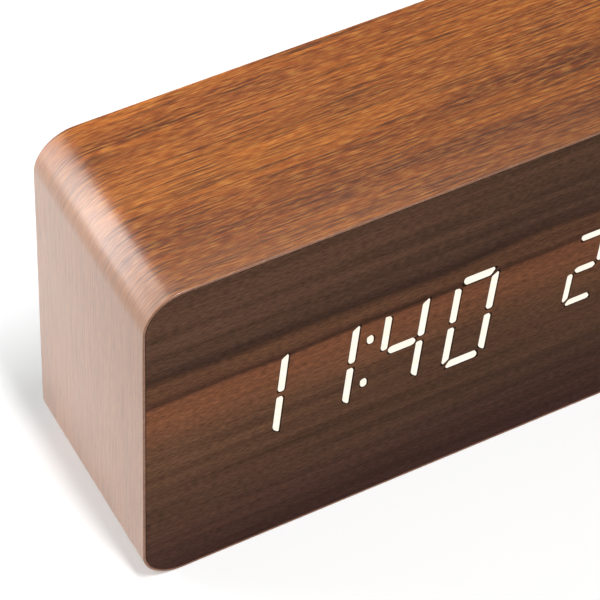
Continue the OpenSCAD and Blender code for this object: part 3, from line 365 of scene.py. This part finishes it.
def plated(name, dark, light, rough, draw):
    """Plated metal: a bright skin over drawn or rolled stock, whose marks run along X, five times as long
    as their pitch draw, in millimetres, and break the reflection up."""
    material, tree, shader, mm = finish_start(name)
    marks = add(tree, "ShaderNodeMapping", {"Vector": mm, "Scale": (0.2 / draw, 1 / draw, 1 / draw)})
    lines = add(tree, "ShaderNodeTexNoise", {"Vector": marks.outputs[0], "Scale": 1, "Detail": 3})
    colour = add(tree, "ShaderNodeValToRGB", {"Fac": lines.outputs["Fac"]}, stops=[(0.3, dark), (0.7, light)])
    dull = add(tree, "ShaderNodeMapRange", {
        "Value": lines.outputs["Fac"], "To Min": rough - 0.1, "To Max": rough + 0.1})
    bump = add(tree, "ShaderNodeBump", {
        "Height": lines.outputs["Fac"], "Strength": 0.15, "Distance": 0.02 * MM})
    tree.links.new(colour.outputs[0], shader.inputs["Base Color"])
    tree.links.new(dull.outputs[0], shader.inputs["Roughness"])
    tree.links.new(bump.outputs[0], shader.inputs["Normal"])
    shader.inputs["Metallic"].default_value = 1.0
    return material


def circuit_laminate():
    """Glass-epoxy laminate under green solder mask: glossy, with the copper runs showing as paler
    green bars about 1 mm wide and the glass weave, 0.5 mm in pitch, as a faint mottle."""
    material, tree, shader, mm = finish_start("glass-epoxy laminate, green solder mask")
    # the boards stand upright, so the pattern is turned to face the front
    turned = add(tree, "ShaderNodeMapping", {"Vector": mm, "Rotation": (math.pi / 2, 0, 0)})
    runs = add(tree, "ShaderNodeTexBrick", {
        "Vector": turned.outputs[0], "Color1": linear("#1f5c3a"), "Color2": linear("#2c7049"),
        "Mortar": linear("#174a2e"), "Scale": 1.0, "Mortar Size": 0.12, "Brick Width": 8.0,
        "Row Height": 1.1})
    weave = add(tree, "ShaderNodeTexNoise", {"Vector": mm, "Scale": 1 / 0.5, "Detail": 2})
    tone = add(tree, "ShaderNodeMapRange", {"Value": weave.outputs["Fac"], "To Min": 0.8, "To Max": 1.2})
    mask = add(tree, "ShaderNodeMix", {"Factor": 1.0, 6: runs.outputs["Color"], 7: tone.outputs[0]},
               data_type="RGBA", blend_type="MULTIPLY")
    bump = add(tree, "ShaderNodeBump", {
        "Height": runs.outputs["Fac"], "Strength": 0.3, "Distance": 0.03 * MM})
    tree.links.new(mask.outputs[2], shader.inputs["Base Color"])
    tree.links.new(bump.outputs[0], shader.inputs["Normal"])
    shader.inputs["Roughness"].default_value = 0.28
    shader.inputs["IOR"].default_value = 1.55
    return material


wrap_wood = walnut_wrap()
edge_wood = cut_edge()
front_wood = dark_walnut()
glow = lit_veneer()
board_raw = fibreboard()
# near-black back cover and door: an even spark grain that keeps reflections soft
cover_plastic = moulded("ABS, spark-textured moulding", "#1b1c1e", "#25272a", 0.35, 0.06, 0.55)
# the keys, a shade paler and silkier than the cover, so that they stand out from it
button_plastic = moulded("ABS, satin moulding", "#34363a", "#43464b", 0.8, 0.02, 0.42)
# chips, switches, the buzzer and the socket's insert: dull black with a dusty bloom from the filler
chip_epoxy = moulded("epoxy, transfer moulded", "#1a1b1d", "#2a2b2e", 0.25, 0.03, 0.6)
# ribbon headers and the cell holder: waxy off-white
header_nylon = moulded("nylon, moulded", "#d8d2c2", "#ece7da", 0.9, 0.02, 0.45)
# the reflector: clean bright white with a soft gloss
reflector_white = moulded("polycarbonate, white moulding", "#e6e5df", "#f4f3ee", 1.2, 0.02, 0.4)
# the diffuser: milky and quite matt
diffuser_film = moulded("polyester film, matt", "#dcd8cc", "#efece2", 0.3, 0.02, 0.7)
# the lamps, unlit: shiny yellow drops
lamp_resin = moulded("silicone with phosphor, dispensed", "#d9b45a", "#f0d486", 0.2, 0.02, 0.35)
# wire jackets: smooth with a soft shine, red for the leads and grey for the ribbon
vinyl_red = moulded("PVC wire jacket, extruded", "#8f1c17", "#b32a22", 0.7, 0.01, 0.4)
vinyl_grey = moulded("PVC ribbon, extruded", "#7d828a", "#9da2a9", 0.7, 0.02, 0.45)
# shrunk sleeves: tight and glossy, blue on the cells and black on the capacitor
sleeve_blue = moulded("PVC sleeve, shrunk", "#35547a", "#456792", 1.5, 0.01, 0.3)
sleeve_black = moulded("PET sleeve, shrunk", "#1d2735", "#2c3a4c", 1.5, 0.01, 0.3)
# the temperature sensor's bead: wet-looking dark blue
sensor_epoxy = moulded("epoxy, dipped", "#274465", "#3a5f88", 1.0, 0.01, 0.2)
# small screws: pale grey with a cool sparkle
zinc = plated("steel, zinc plated", "#a9acb1", "#c6c9cd", 0.34, 0.3)
# cover screws: oily black that shines only along its edges
black_oxide = plated("steel, black oxide", "#232427", "#3b3d41", 0.42, 0.25)
# springs, contacts, cans and the socket: warm bright grey with sharp highlights
nickel = plated("steel, nickel plated", "#b4b3ae", "#d2d1cc", 0.24, 0.3)
laminate = circuit_laminate()


# The wrap: a path round the case carries the sheet's section

def tree_start(name, sizes):
    """A geometry tree with a mesh input and named size inputs; sizes maps a name to a socket kind."""
    tree = bpy.data.node_groups.new(name, "GeometryNodeTree")
    tree.interface.new_socket("Geometry", in_out="INPUT", socket_type="NodeSocketGeometry")
    tree.interface.new_socket("Geometry", in_out="OUTPUT", socket_type="NodeSocketGeometry")
    for label, kind in sizes.items():
        tree.interface.new_socket(label, in_out="INPUT", socket_type=kind)
    return tree, add(tree, "NodeGroupInput").outputs, add(tree, "NodeGroupOutput")


def grow(piece, tree, values):
    """Puts the tree on the piece, sets its inputs by identifier, and keeps the result as a plain mesh."""
    modifier = piece.modifiers.new(tree.name, "NODES")
    modifier.node_group = tree
    names = {item.name: item.identifier for item in tree.interface.items_tree if item.in_out == "INPUT"}
    for label, value in values.items():
        modifier[names[label]] = value
    return plain_mesh(piece)


def wrap_tree():
    """A veneer sheet from a line: the line's corners are rounded and its ends trimmed, and it carries the
    sheet's section with eased edges. Each point keeps its place along and across the grain, and the faces
    that look to the front or the back get the cut edge's material."""
    tree, given, result = tree_start("veneer wrap", {
        "Corner radius": "NodeSocketFloat", "Thickness": "NodeSocketFloat", "Depth": "NodeSocketFloat",
        "Edge radius": "NodeSocketFloat", "End trim": "NodeSocketFloat",
        "Wood": "NodeSocketMaterial", "Cut edge": "NodeSocketMaterial"})
    line = add(tree, "GeometryNodeMeshToCurve", {"Mesh": given["Geometry"]})
    round_line = add(tree, "GeometryNodeFilletCurve", {
        "Curve": line.outputs[0], "Count": 14, "Radius": given["Corner radius"]}, mode="POLY")
    whole = add(tree, "GeometryNodeCurveLength", {"Curve": round_line.outputs[0]})
    last = add(tree, "ShaderNodeMath", {0: whole.outputs[0], 1: given["End trim"]}, operation="SUBTRACT")
    path = add(tree, "GeometryNodeTrimCurve", {
        "Curve": round_line.outputs[0], 4: given["End trim"], 5: last.outputs[0]}, mode="LENGTH")
    along = add(tree, "GeometryNodeSplineParameter")
    kept = add(tree, "GeometryNodeCaptureAttribute", {"Geometry": path.outputs[0]}, domain="POINT")
    kept.capture_items.new("FLOAT", "along")
    tree.links.new(along.outputs["Length"], kept.inputs[1])
    upright = add(tree, "GeometryNodeSetCurveNormal", {"Curve": kept.outputs[0]}, mode="MINIMUM_TWIST")
    section = add(tree, "GeometryNodeCurvePrimitiveQuadrilateral", {
        "Width": given["Depth"], "Height": given["Thickness"]})
    eased_section = add(tree, "GeometryNodeFilletCurve", {
        "Curve": section.outputs[0], "Count": 3, "Radius": given["Edge radius"]}, mode="POLY")
    spot = add(tree, "GeometryNodeInputPosition")
    across = add(tree, "GeometryNodeCaptureAttribute", {"Geometry": eased_section.outputs[0]}, domain="POINT")
    across.capture_items.new("VECTOR", "across")
    tree.links.new(spot.outputs[0], across.inputs[1])
    skin = add(tree, "GeometryNodeCurveToMesh", {
        "Curve": upright.outputs[0], "Fill Caps": True, "Profile Curve": across.outputs[0]})
    parts = add(tree, "ShaderNodeSeparateXYZ", {0: across.outputs[1]})
    grain = add(tree, "ShaderNodeCombineXYZ", {"X": kept.outputs[1], "Y": parts.outputs["X"]})
    grain_mm = add(tree, "ShaderNodeVectorMath", {0: grain.outputs[0], "Scale": 1 / MM}, operation="SCALE")
    named = add(tree, "GeometryNodeStoreNamedAttribute", {
        "Geometry": skin.outputs[0], "Name": "grain_mm", "Value": grain_mm.outputs[0]},
        data_type="FLOAT_VECTOR", domain="POINT")
    facing = add(tree, "ShaderNodeSeparateXYZ", {0: add(tree, "GeometryNodeInputNormal").outputs[0]})
    sheer = add(tree, "ShaderNodeMath", {0: facing.outputs["Y"]}, operation="ABSOLUTE")
    is_edge = add(tree, "FunctionNodeCompare", {0: sheer.outputs[0], 1: 0.5}, data_type="FLOAT",
                  operation="GREATER_THAN")
    whole_sheet = add(tree, "GeometryNodeRealizeInstances", {"Geometry": named.outputs[0]})
    wooden = add(tree, "GeometryNodeSetMaterial", {
        "Geometry": whole_sheet.outputs[0], "Material": given["Wood"]})
    edged = add(tree, "GeometryNodeSetMaterial", {
        "Geometry": wooden.outputs[0], "Selection": is_edge.outputs[0], "Material": given["Cut edge"]})
    tree.links.new(edged.outputs[0], result.inputs[0])
    return tree


wrap_shape = wrap_tree()


def veneer_sheet(name, turns, trim, node):
    """A veneer sheet whose section follows the line through the turns, given as X and Z, round the case."""
    line = bpy.data.meshes.new(name + " line")
    line.from_pydata([(x, 0, z) for x, z in turns], [(i, i + 1) for i in range(len(turns) - 1)], [])
    piece = link_new(name, line)
    grow(piece, wrap_shape, {"Corner radius": corner_r - wrap_t / 2, "Thickness": wrap_t, "Depth": case_d,
                             "Edge radius": arris_r, "End trim": trim, "Wood": wrap_wood,
                             "Cut edge": edge_wood})
    smooth(piece, 50)
    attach(piece, "case")
    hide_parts(node)


# the lines run in the middle of the sheet's thickness
side_x, low_z, top_z = case_w / 2 - wrap_t / 2, wrap_t / 2, case_h - wrap_t / 2
turn_x = side_x - corner_r + wrap_t / 2
veneer_sheet("walnut_wrap", [(-turn_x, low_z), (-side_x, low_z), (-side_x, top_z), (side_x, top_z),
                             (side_x, low_z), (turn_x, low_z)], wrap_end, "veneer_wrap")
base_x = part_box("base_sheet")[1].x
veneer_sheet("walnut_base", [(base_x, low_z), (-base_x, low_z)], 0.0, "base_sheet")


# Screws and springs: one shape each, set on points

def lathe(tree, start, end, count, radius_of):
    """A round solid along a line from start to end; radius_of makes the radius socket from each ring's
    place on the line: its Factor, 0 to 1, and its Index."""
    line = add(tree, "GeometryNodeCurvePrimitiveLine", {"Start": start, "End": end})
    rings = add(tree, "GeometryNodeResampleCurve", {"Curve": line.outputs[0], "Count": count})
    along = add(tree, "GeometryNodeSplineParameter").outputs
    ring = add(tree, "GeometryNodeCurvePrimitiveCircle", {"Resolution": 32, "Radius": 1.0})
    skin = add(tree, "GeometryNodeCurveToMesh", {
        "Curve": rings.outputs[0], "Profile Curve": ring.outputs[0], "Scale": radius_of(along),
        "Fill Caps": True})
    return skin.outputs[0]


def screw_tree():
    """Pan-head screws with a cross recess and a threaded shank, one on each point, along Y."""
    tree, given, result = tree_start("cover screws", {
        "Head radius": "NodeSocketFloat", "Head height": "NodeSocketFloat", "Shank radius": "NodeSocketFloat",
        "Shank length": "NodeSocketFloat", "Recess width": "NodeSocketFloat", "Steel": "NodeSocketMaterial"})

    def domed(along):
        """Upright at the seat, rounding over to a nearly flat crown that stops short of a point."""
        near = add(tree, "ShaderNodeMath", {0: along["Factor"], 1: 0.97}, operation="MULTIPLY")
        fall = add(tree, "ShaderNodeMath", {0: near.outputs[0], 1: 6.0}, operation="POWER")
        left = add(tree, "ShaderNodeMath", {0: 1.0, 1: fall.outputs[0]}, operation="SUBTRACT")
        root = add(tree, "ShaderNodeMath", {0: left.outputs[0]}, operation="SQRT")
        wide = add(tree, "ShaderNodeMath", {0: given["Head radius"], 1: root.outputs[0]},
                   operation="MULTIPLY")
        return wide.outputs[0]

    def threaded(along):
        """Crests and roots by turns, narrowing to a blunt point over the last eighth."""
        odd = add(tree, "ShaderNodeMath", {0: along["Index"], 1: 2.0}, operation="MODULO")
        crest = add(tree, "ShaderNodeMath", {0: odd.outputs[0], 1: 0.2, 2: 0.8}, operation="MULTIPLY_ADD")
        left = add(tree, "ShaderNodeMapRange", {
            "Value": along["Factor"], "From Min": 1.0, "From Max": 0.88, "To Min": 0.3})
        taper = add(tree, "ShaderNodeMath", {0: crest.outputs[0], 1: left.outputs[0]}, operation="MULTIPLY")
        wide = add(tree, "ShaderNodeMath", {0: given["Shank radius"], 1: taper.outputs[0]},
                   operation="MULTIPLY")
        return wide.outputs[0]

    top = add(tree, "ShaderNodeCombineXYZ", {"Y": given["Head height"]}).outputs[0]
    down = add(tree, "ShaderNodeMath", {0: given["Shank length"], 1: -1.0}, operation="MULTIPLY")
    tip = add(tree, "ShaderNodeCombineXYZ", {"Y": down.outputs[0]}).outputs[0]
    head = lathe(tree, (0, 0, 0), top, 16, domed)
    shank = lathe(tree, (0, 0, 0), tip, 31, threaded)
    # two crossed bars, 1.25 head radii long, cut the recess halfway down into the head
    long_side = add(tree, "ShaderNodeMath", {0: given["Head radius"], 1: 1.25},
                    operation="MULTIPLY").outputs[0]
    bars = []
    for x, z in ((long_side, given["Recess width"]), (given["Recess width"], long_side)):
        size = add(tree, "ShaderNodeCombineXYZ", {"X": x, "Y": given["Head height"], "Z": z})
        bar = add(tree, "GeometryNodeMeshCube", {"Size": size.outputs[0]})
        raised = add(tree, "GeometryNodeTransform", {"Geometry": bar.outputs[0], "Translation": top})
        bars.append(raised.outputs[0])
    cut_head = add(tree, "GeometryNodeMeshBoolean", {"Mesh 1": head, "Mesh 2": bars[0]},
                   operation="DIFFERENCE", solver="EXACT")
    tree.links.new(bars[1], cut_head.inputs["Mesh 2"])
    both = add(tree, "GeometryNodeJoinGeometry", {"Geometry": cut_head.outputs[0]})
    tree.links.new(shank, both.inputs[0])
    # each screw stops at its own turn
    turn = add(tree, "FunctionNodeRandomValue", {2: 0.0, 3: math.pi / 2, "Seed": 4}, data_type="FLOAT")
    set_turn = add(tree, "FunctionNodeAxisAngleToRotation", {"Axis": (0, 1, 0), "Angle": turn.outputs[1]})
    spread = add(tree, "GeometryNodeInstanceOnPoints", {
        "Points": given["Geometry"], "Instance": both.outputs[0], "Rotation": set_turn.outputs[0]})
    real = add(tree, "GeometryNodeRealizeInstances", {"Geometry": spread.outputs[0]})
    steel = add(tree, "GeometryNodeSetMaterial", {"Geometry": real.outputs[0], "Material": given["Steel"]})
    tree.links.new(steel.outputs[0], result.inputs[0])
    return tree


def spring_tree():
    """Tapered coil springs, one on each point; they lead off along X, towards the middle of the tray."""
    tree, given, result = tree_start("battery springs", {
        "Turns": "NodeSocketFloat", "Wide radius": "NodeSocketFloat", "Narrow radius": "NodeSocketFloat",
        "Length": "NodeSocketFloat", "Wire radius": "NodeSocketFloat", "Tray middle": "NodeSocketFloat",
        "Steel": "NodeSocketMaterial"})
    coil = add(tree, "GeometryNodeCurveSpiral", {
        "Resolution": 28, "Rotations": given["Turns"], "Start Radius": given["Wide radius"],
        "End Radius": given["Narrow radius"], "Height": given["Length"]})
    wire = add(tree, "GeometryNodeCurvePrimitiveCircle", {"Resolution": 10, "Radius": given["Wire radius"]})
    wound = add(tree, "GeometryNodeCurveToMesh", {
        "Curve": coil.outputs[0], "Profile Curve": wire.outputs[0], "Fill Caps": True})
    laid = add(tree, "GeometryNodeTransform", {"Geometry": wound.outputs[0], "Rotation": (0, math.pi / 2, 0)})
    spot = add(tree, "ShaderNodeSeparateXYZ", {0: add(tree, "GeometryNodeInputPosition").outputs[0]})
    right = add(tree, "ShaderNodeMath", {0: spot.outputs["X"], 1: given["Tray middle"]},
                operation="GREATER_THAN")
    turn = add(tree, "ShaderNodeMath", {0: right.outputs[0], 1: math.pi}, operation="MULTIPLY")
    about = add(tree, "FunctionNodeAxisAngleToRotation", {"Axis": (0, 0, 1), "Angle": turn.outputs[0]})
    spread = add(tree, "GeometryNodeInstanceOnPoints", {
        "Points": given["Geometry"], "Instance": laid.outputs[0], "Rotation": about.outputs[0]})
    real = add(tree, "GeometryNodeRealizeInstances", {"Geometry": spread.outputs[0]})
    steel = add(tree, "GeometryNodeSetMaterial", {"Geometry": real.outputs[0], "Material": given["Steel"]})
    tree.links.new(steel.outputs[0], result.inputs[0])
    return tree


def on_points(name, spots, tree, values, node):
    """Grows the tree on a set of points, as one piece that stands for the node."""
    points = bpy.data.meshes.new(name + " points")
    points.from_pydata(spots, [], [])
    piece = link_new(name, points)
    grow(piece, tree, values)
    smooth(piece, 35)
    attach(piece, nodes[node]["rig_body"])
    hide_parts(node)


# a screw at each corner of the solids' box, its head resting on the seat in the cover
screw_low, screw_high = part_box("cover_screws")
head_r, head_h = 2.6 * MM, 1.1 * MM
seat_y = screw_high.y - head_h
on_points("cover_screw_set", [(x, seat_y, z) for x in (screw_low.x + head_r, screw_high.x - head_r)
                              for z in (screw_low.z + head_r, screw_high.z - head_r)], screw_tree(),
          {"Head radius": head_r, "Head height": head_h, "Shank radius": 1.3 * MM,
           "Shank length": seat_y - screw_low.y, "Recess width": 0.75 * MM, "Steel": black_oxide},
          "cover_screws")

# the middle of the battery tray, how far back and apart the cells lie, and how far out the springs stand
tray_x, tray_z = -23.0 * MM, 35.0 * MM
cell_y, cell_pitch = 10.45 * MM, 11.0 * MM
spring_x = 24.7 * MM
# a spring at the left end of the upper and lower cells, and at the right end of the middle one
on_points("battery_spring_set", [(tray_x - spring_x, cell_y, tray_z + cell_pitch),
                                 (tray_x + spring_x, cell_y, tray_z),
                                 (tray_x - spring_x, cell_y, tray_z - cell_pitch)], spring_tree(),
          {"Turns": 3.5, "Wide radius": 3.65 * MM, "Narrow radius": 2.3 * MM, "Length": 4.25 * MM,
           "Wire radius": 0.3 * MM, "Tray middle": tray_x, "Steel": nickel}, "battery_springs")


# Batteries: a plain sleeve shrunk over a steel can, its ends rolled in

def battery(node, name):
    """A cell in its tray, turned from an outline; the middle one lies the other way round."""
    low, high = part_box(node)
    axis_z = (low.z + high.z) / 2
    flip = node == "battery_middle"
    # along the cell and out from its axis, in millimetres, from the flat end to the button
    can_end = [(0.0, 0.0), (0.0, 2.4), (0.06, 2.6), (0.06, 4.2), (0.2, 4.5), (0.55, 4.6)]
    sleeve = [(0.5, 4.75), (0.48, 4.95), (0.58, 5.14), (0.85, 5.25), (42.6, 5.25), (43.0, 5.2),
              (43.25, 5.08), (43.38, 4.85), (43.3, 4.6)]
    button = [(43.2, 4.5), (43.2, 2.3), (43.28, 2.0), (43.5, 1.9), (44.2, 1.9), (44.42, 1.78),
              (44.5, 1.5), (44.5, 0.0)]
    outline = can_end + sleeve + button
    shape = bmesh.new()
    sides = 48
    rings = []
    for along, out in outline:
        x = high.x - along * MM if flip else low.x + along * MM
        count = 1 if out == 0 else sides
        rings.append([shape.verts.new((x, cell_y + out * MM * math.cos(2 * math.pi * k / sides),
                                       axis_z + out * MM * math.sin(2 * math.pi * k / sides)))
                      for k in range(count)])
    for i, (a, b) in enumerate(zip(rings, rings[1:])):
        for k in range(sides):
            corners = [a[k % len(a)], a[(k + 1) % len(a)], b[(k + 1) % len(b)], b[k % len(b)]]
            face = shape.faces.new(list(dict.fromkeys(corners)))
            face.material_index = 0 if len(can_end) - 1 <= i < len(can_end) + len(sleeve) else 1
    bmesh.ops.recalc_face_normals(shape, faces=shape.faces)
    piece = link_new(name, bpy.data.meshes.new(name))
    shape.to_mesh(piece.data)
    shape.free()
    piece.data.materials.append(sleeve_blue)
    piece.data.materials.append(nickel)
    smooth(piece, 40)
    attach(piece, "case")
    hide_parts(node)


for row in ("top", "middle", "bottom"):
    battery("battery_" + row, "cell_" + row)


# Mouldings with eased edges, made from the solids' own shapes

def whole_faces(mesh):
    """A solid's mesh opened for work: doubled points welded, and the triangles of a flat face made one."""
    weld, flat = 0.002 * MM, math.radians(1.0)
    shape = bmesh.new()
    shape.from_mesh(mesh)
    bmesh.ops.remove_doubles(shape, verts=shape.verts, dist=weld)
    bmesh.ops.dissolve_limit(shape, angle_limit=flat, verts=shape.verts, edges=shape.edges)
    return shape


def eased(node, name, material):
    """A copy of a solid with its edges rounded, which rides on the solid's body in its place."""
    edge_r, edge_turn = 0.2 * MM, 40
    piece = link_new(name, nodes[node].data.copy())
    shape = whole_faces(piece.data)
    shape.to_mesh(piece.data)
    shape.free()
    smooth(piece, edge_turn)
    edge = piece.modifiers.new("eased edges", "BEVEL")
    edge.width = edge_r
    edge.segments = 2
    edge.limit_method = "ANGLE"
    edge.angle_limit = math.radians(edge_turn)
    edge.use_clamp_overlap = True
    flat = piece.modifiers.new("flat faces", "WEIGHTED_NORMAL")
    flat.mode = "FACE_AREA"
    flat.weight = 100
    plain_mesh(piece)
    paint(piece, material)
    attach(piece, nodes[node]["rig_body"])
    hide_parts(node)


eased("back_cover", "back_moulding", cover_plastic)
eased("battery_door", "battery_lid", cover_plastic)
for key in ("set", "up", "down"):
    eased(key + "_button", key + "_cap", button_plastic)


# Lit strokes: the outlines of the solids, drawn in and rounded as light through the wood shows them

def drawn_in(outline, inset):
    """A convex outline, given as X and Z, moved inwards all round; points that fall together become one."""
    together = 0.0001 * MM
    shape = outline
    for a, b in zip(outline, outline[1:] + outline[:1]):
        side = (b - a).normalized()
        inner = Vector((-side.y, side.x))
        depths = [inner.dot(p - a) - inset for p in shape]
        kept = []
        for i, (p, depth) in enumerate(zip(shape, depths)):
            if depth * depths[i - 1] < 0:
                kept.append(shape[i - 1].lerp(p, depths[i - 1] / (depths[i - 1] - depth)))
            if depth >= 0:
                kept.append(p)
        shape = kept
    return [p for i, p in enumerate(shape) if (p - shape[i - 1]).length > together]


def rounded_out(core, radius):
    """A convex outline grown all round, its corners turned to arcs. An acute corner gets a smaller arc
    further out, so that a mitred end keeps its tip."""
    acute, tip, step = math.radians(100), 0.4, math.radians(15)
    points = []
    for i, p in enumerate(core):
        before, after = p - core[i - 1], core[(i + 1) % len(core)] - p
        start = math.atan2(-before.x, before.y)
        sweep = (math.atan2(-after.x, after.y) - start) % (2 * math.pi)
        arc = tip * radius if sweep > acute else radius
        middle = Vector((math.cos(start + sweep / 2), math.sin(start + sweep / 2)))
        centre = p + middle * (radius - arc) / math.cos(sweep / 2)
        steps = math.ceil(sweep / step)
        for k in range(steps + 1):
            angle = start + sweep * k / steps
            points.append(centre + arc * Vector((math.cos(angle), math.sin(angle))))
    return points


def lit_strokes():
    """All the lit areas as one piece, as thick as the solids. Each outline is drawn in nearly to its middle
    line and grown again by less, both as shares of its width, which leaves round ends."""
    inset, regrowth = 0.43, 0.36
    shape = whole_faces(nodes["lit_segments"].data)
    outlines = [[Vector((v.co.x, v.co.z)) for v in face.verts]
                for face in shape.faces if face.normal.y < -0.9]
    shape.clear()
    low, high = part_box("lit_segments")
    for outline in outlines:
        width = min(max((b - a).normalized().cross(p - a) for p in outline)
                    for a, b in zip(outline, outline[1:] + outline[:1]))
        stroke = rounded_out(drawn_in(outline, inset * width), regrowth * width)
        face, rear = ([shape.verts.new((p.x, y, p.y)) for p in stroke] for y in (low.y, high.y))
        shape.faces.new(face)
        shape.faces.new(rear[::-1])
        for i in range(len(stroke)):
            shape.faces.new((face[i - 1], rear[i - 1], rear[i], face[i]))
    piece = link_new("lit_strokes", bpy.data.meshes.new("lit_strokes"))
    shape.to_mesh(piece.data)
    shape.free()
    paint(piece, glow)
    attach(piece, "case")
    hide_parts("lit_segments")


lit_strokes()

# Nodes that keep their solids' shapes
for node, material in {
    "front_veneer": front_wood, "case_shell": board_raw,
    "diffuser_sheet": diffuser_film, "segment_reflector": reflector_white, "display_board": laminate,
    "segment_lamps": lamp_resin, "display_screws": zinc, "driver_chip": chip_epoxy,
    "battery_plates": nickel, "key_board": laminate, "board_screws": zinc,
    "switch_housings": chip_epoxy,
    "set_plunger": chip_epoxy, "up_plunger": chip_epoxy, "down_plunger": chip_epoxy,
    "socket_shell": nickel, "socket_insert": chip_epoxy,
    "buzzer": chip_epoxy, "temperature_sensor": sensor_epoxy,
    "backup_holder": header_nylon, "backup_cell": nickel, "clock_chip": chip_epoxy, "crystal": nickel,
    "capacitor": sleeve_black,
    "ribbon_cable": vinyl_grey, "ribbon_headers": header_nylon, "battery_leads": vinyl_red,
}.items():
    paint(nodes[node], material)


# Studio

def looked_at(tree):
    """A socket that is 1 for rays that show a thing to the eye, straight, mirrored or through something
    clear, and one that is 1 for the straight rays alone."""
    path = add(tree, "ShaderNodeLightPath").outputs
    seen = add(tree, "ShaderNodeMath", {0: path["Is Camera Ray"], 1: path["Is Glossy Ray"]},
               operation="MAXIMUM")
    seen_clear = add(tree, "ShaderNodeMath", {0: seen.outputs[0], 1: path["Is Transmission Ray"]},
                     operation="MAXIMUM")
    return seen_clear.outputs[0], path["Is Camera Ray"]


def table():
    """A plain white table that takes the clock's shadow, and pales into the backdrop away from it."""
    floor_mesh = bpy.data.meshes.new("floor")
    reach = 3.0
    under = -0.05 * MM
    floor_mesh.from_pydata([(-reach, -reach, under), (reach, -reach, under), (reach, reach, under),
                            (-reach, reach, under)], [], [(0, 1, 2, 3)])
    floor = link_new("floor", floor_mesh)
    material = bpy.data.materials.new("painted white table")
    material.use_nodes = True
    tree = material.node_tree
    tree.nodes.clear()
    seen, _ = looked_at(tree)
    spot = add(tree, "ShaderNodeTexCoord")
    away = add(tree, "ShaderNodeVectorMath", {0: spot.outputs["Object"]}, operation="LENGTH")
    pale = add(tree, "ShaderNodeMapRange", {
        "Value": away.outputs["Value"], "From Min": 0.2, "From Max": 0.8, "To Min": 0.25, "To Max": 1.0})
    lift = add(tree, "ShaderNodeMath", {0: seen, 1: pale.outputs[0]}, operation="MULTIPLY")
    matt = add(tree, "ShaderNodeBsdfDiffuse", {"Color": linear("#e2e2e2")})
    glow_white = add(tree, "ShaderNodeEmission", {"Color": linear("#ffffff"), "Strength": lift.outputs[0]})
    both = add(tree, "ShaderNodeAddShader", {0: matt.outputs[0], 1: glow_white.outputs[0]})
    # seen from below the table is clear, so that the base shows
    side = add(tree, "ShaderNodeNewGeometry")
    clear = add(tree, "ShaderNodeBsdfTransparent")
    top_only = add(tree, "ShaderNodeMixShader", {
        0: side.outputs["Backfacing"], 1: both.outputs[0], 2: clear.outputs[0]})
    add(tree, "ShaderNodeOutputMaterial", {"Surface": top_only.outputs[0]})
    paint(floor, material)


def backdrop():
    """A white backdrop: as light it is even and weak, and in reflections it is pale round the horizon and
    dim overhead."""
    world = bpy.data.worlds.new("studio")
    bpy.context.scene.world = world
    world.use_nodes = True
    tree = world.node_tree
    tree.nodes.clear()
    seen, straight = looked_at(tree)
    sky = add(tree, "ShaderNodeTexCoord")
    up = add(tree, "ShaderNodeSeparateXYZ", {0: sky.outputs["Generated"]})
    horizon = add(tree, "ShaderNodeMapRange", {
        "Value": up.outputs["Z"], "From Min": 0.05, "From Max": 0.3, "To Min": 1.0, "To Max": 0.03})
    sky_seen = add(tree, "ShaderNodeMath", {0: horizon.outputs[0], 1: straight}, operation="MAXIMUM")
    strength = add(tree, "ShaderNodeMix", {"Factor": seen, 2: 0.2, 3: sky_seen.outputs[0]},
                   data_type="FLOAT")
    air = add(tree, "ShaderNodeBackground", {"Color": linear("#ffffff"), "Strength": strength.outputs[0]})
    add(tree, "ShaderNodeOutputWorld", {"Surface": air.outputs[0]})


def lamps():
    """A soft strip overhead, just in front of the clock, and a tall box at the left behind whose sheen runs
    along the rounded edge: it leans, in degrees, along the arc that the rounding mirrors."""
    for name, spot, aim, lean, size, watts in (
            ("overhead", (-0.015, -0.27, 1.02), (0, 0, 0.03), 0, (0.09, 0.4), 9.1),
            ("left behind", (-0.81, 0.68, 0.58), (-0.06, 0, 0.06), 20, (0.42, 1.25), 10.6)):
        lamp = bpy.data.lights.new(name, "AREA")
        lamp.shape = "RECTANGLE"
        lamp.size, lamp.size_y = size
        lamp.energy = watts
        holder = bpy.data.objects.new(name, lamp)
        holder.location = spot
        facing = (Vector(aim) - Vector(spot)).to_track_quat("-Z", "Y")
        holder.rotation_euler = (facing @ Quaternion((0, 0, 1), math.radians(lean))).to_euler()
        bpy.context.scene.collection.objects.link(holder)


def photo_camera():
    """The photograph's own viewpoint: from the front left, well above, with a slight roll (radians)."""
    turn, rise, roll = -0.5402, 0.86195, 0.05577
    back = Vector((math.sin(turn) * math.cos(rise), -math.cos(turn) * math.cos(rise), math.sin(rise)))
    right = Vector((math.cos(turn), math.sin(turn), 0))
    up = back.cross(right)
    level = math.cos(roll) * right + math.sin(roll) * up
    upright = -math.sin(roll) * right + math.cos(roll) * up
    lens = bpy.data.cameras.new("photo view")
    lens.sensor_width = 36
    lens.lens = 187.85
    view = bpy.data.objects.new("photo view", lens)
    view.matrix_world = Matrix((level, upright, back)).transposed().to_4x4()
    view.location = (-0.199021, -0.287515, 0.422653)
    bpy.context.scene.collection.objects.link(view)
    bpy.context.scene.camera = view


table()
backdrop()
lamps()
photo_camera()
bpy.context.scene.view_settings.view_transform = "Standard"
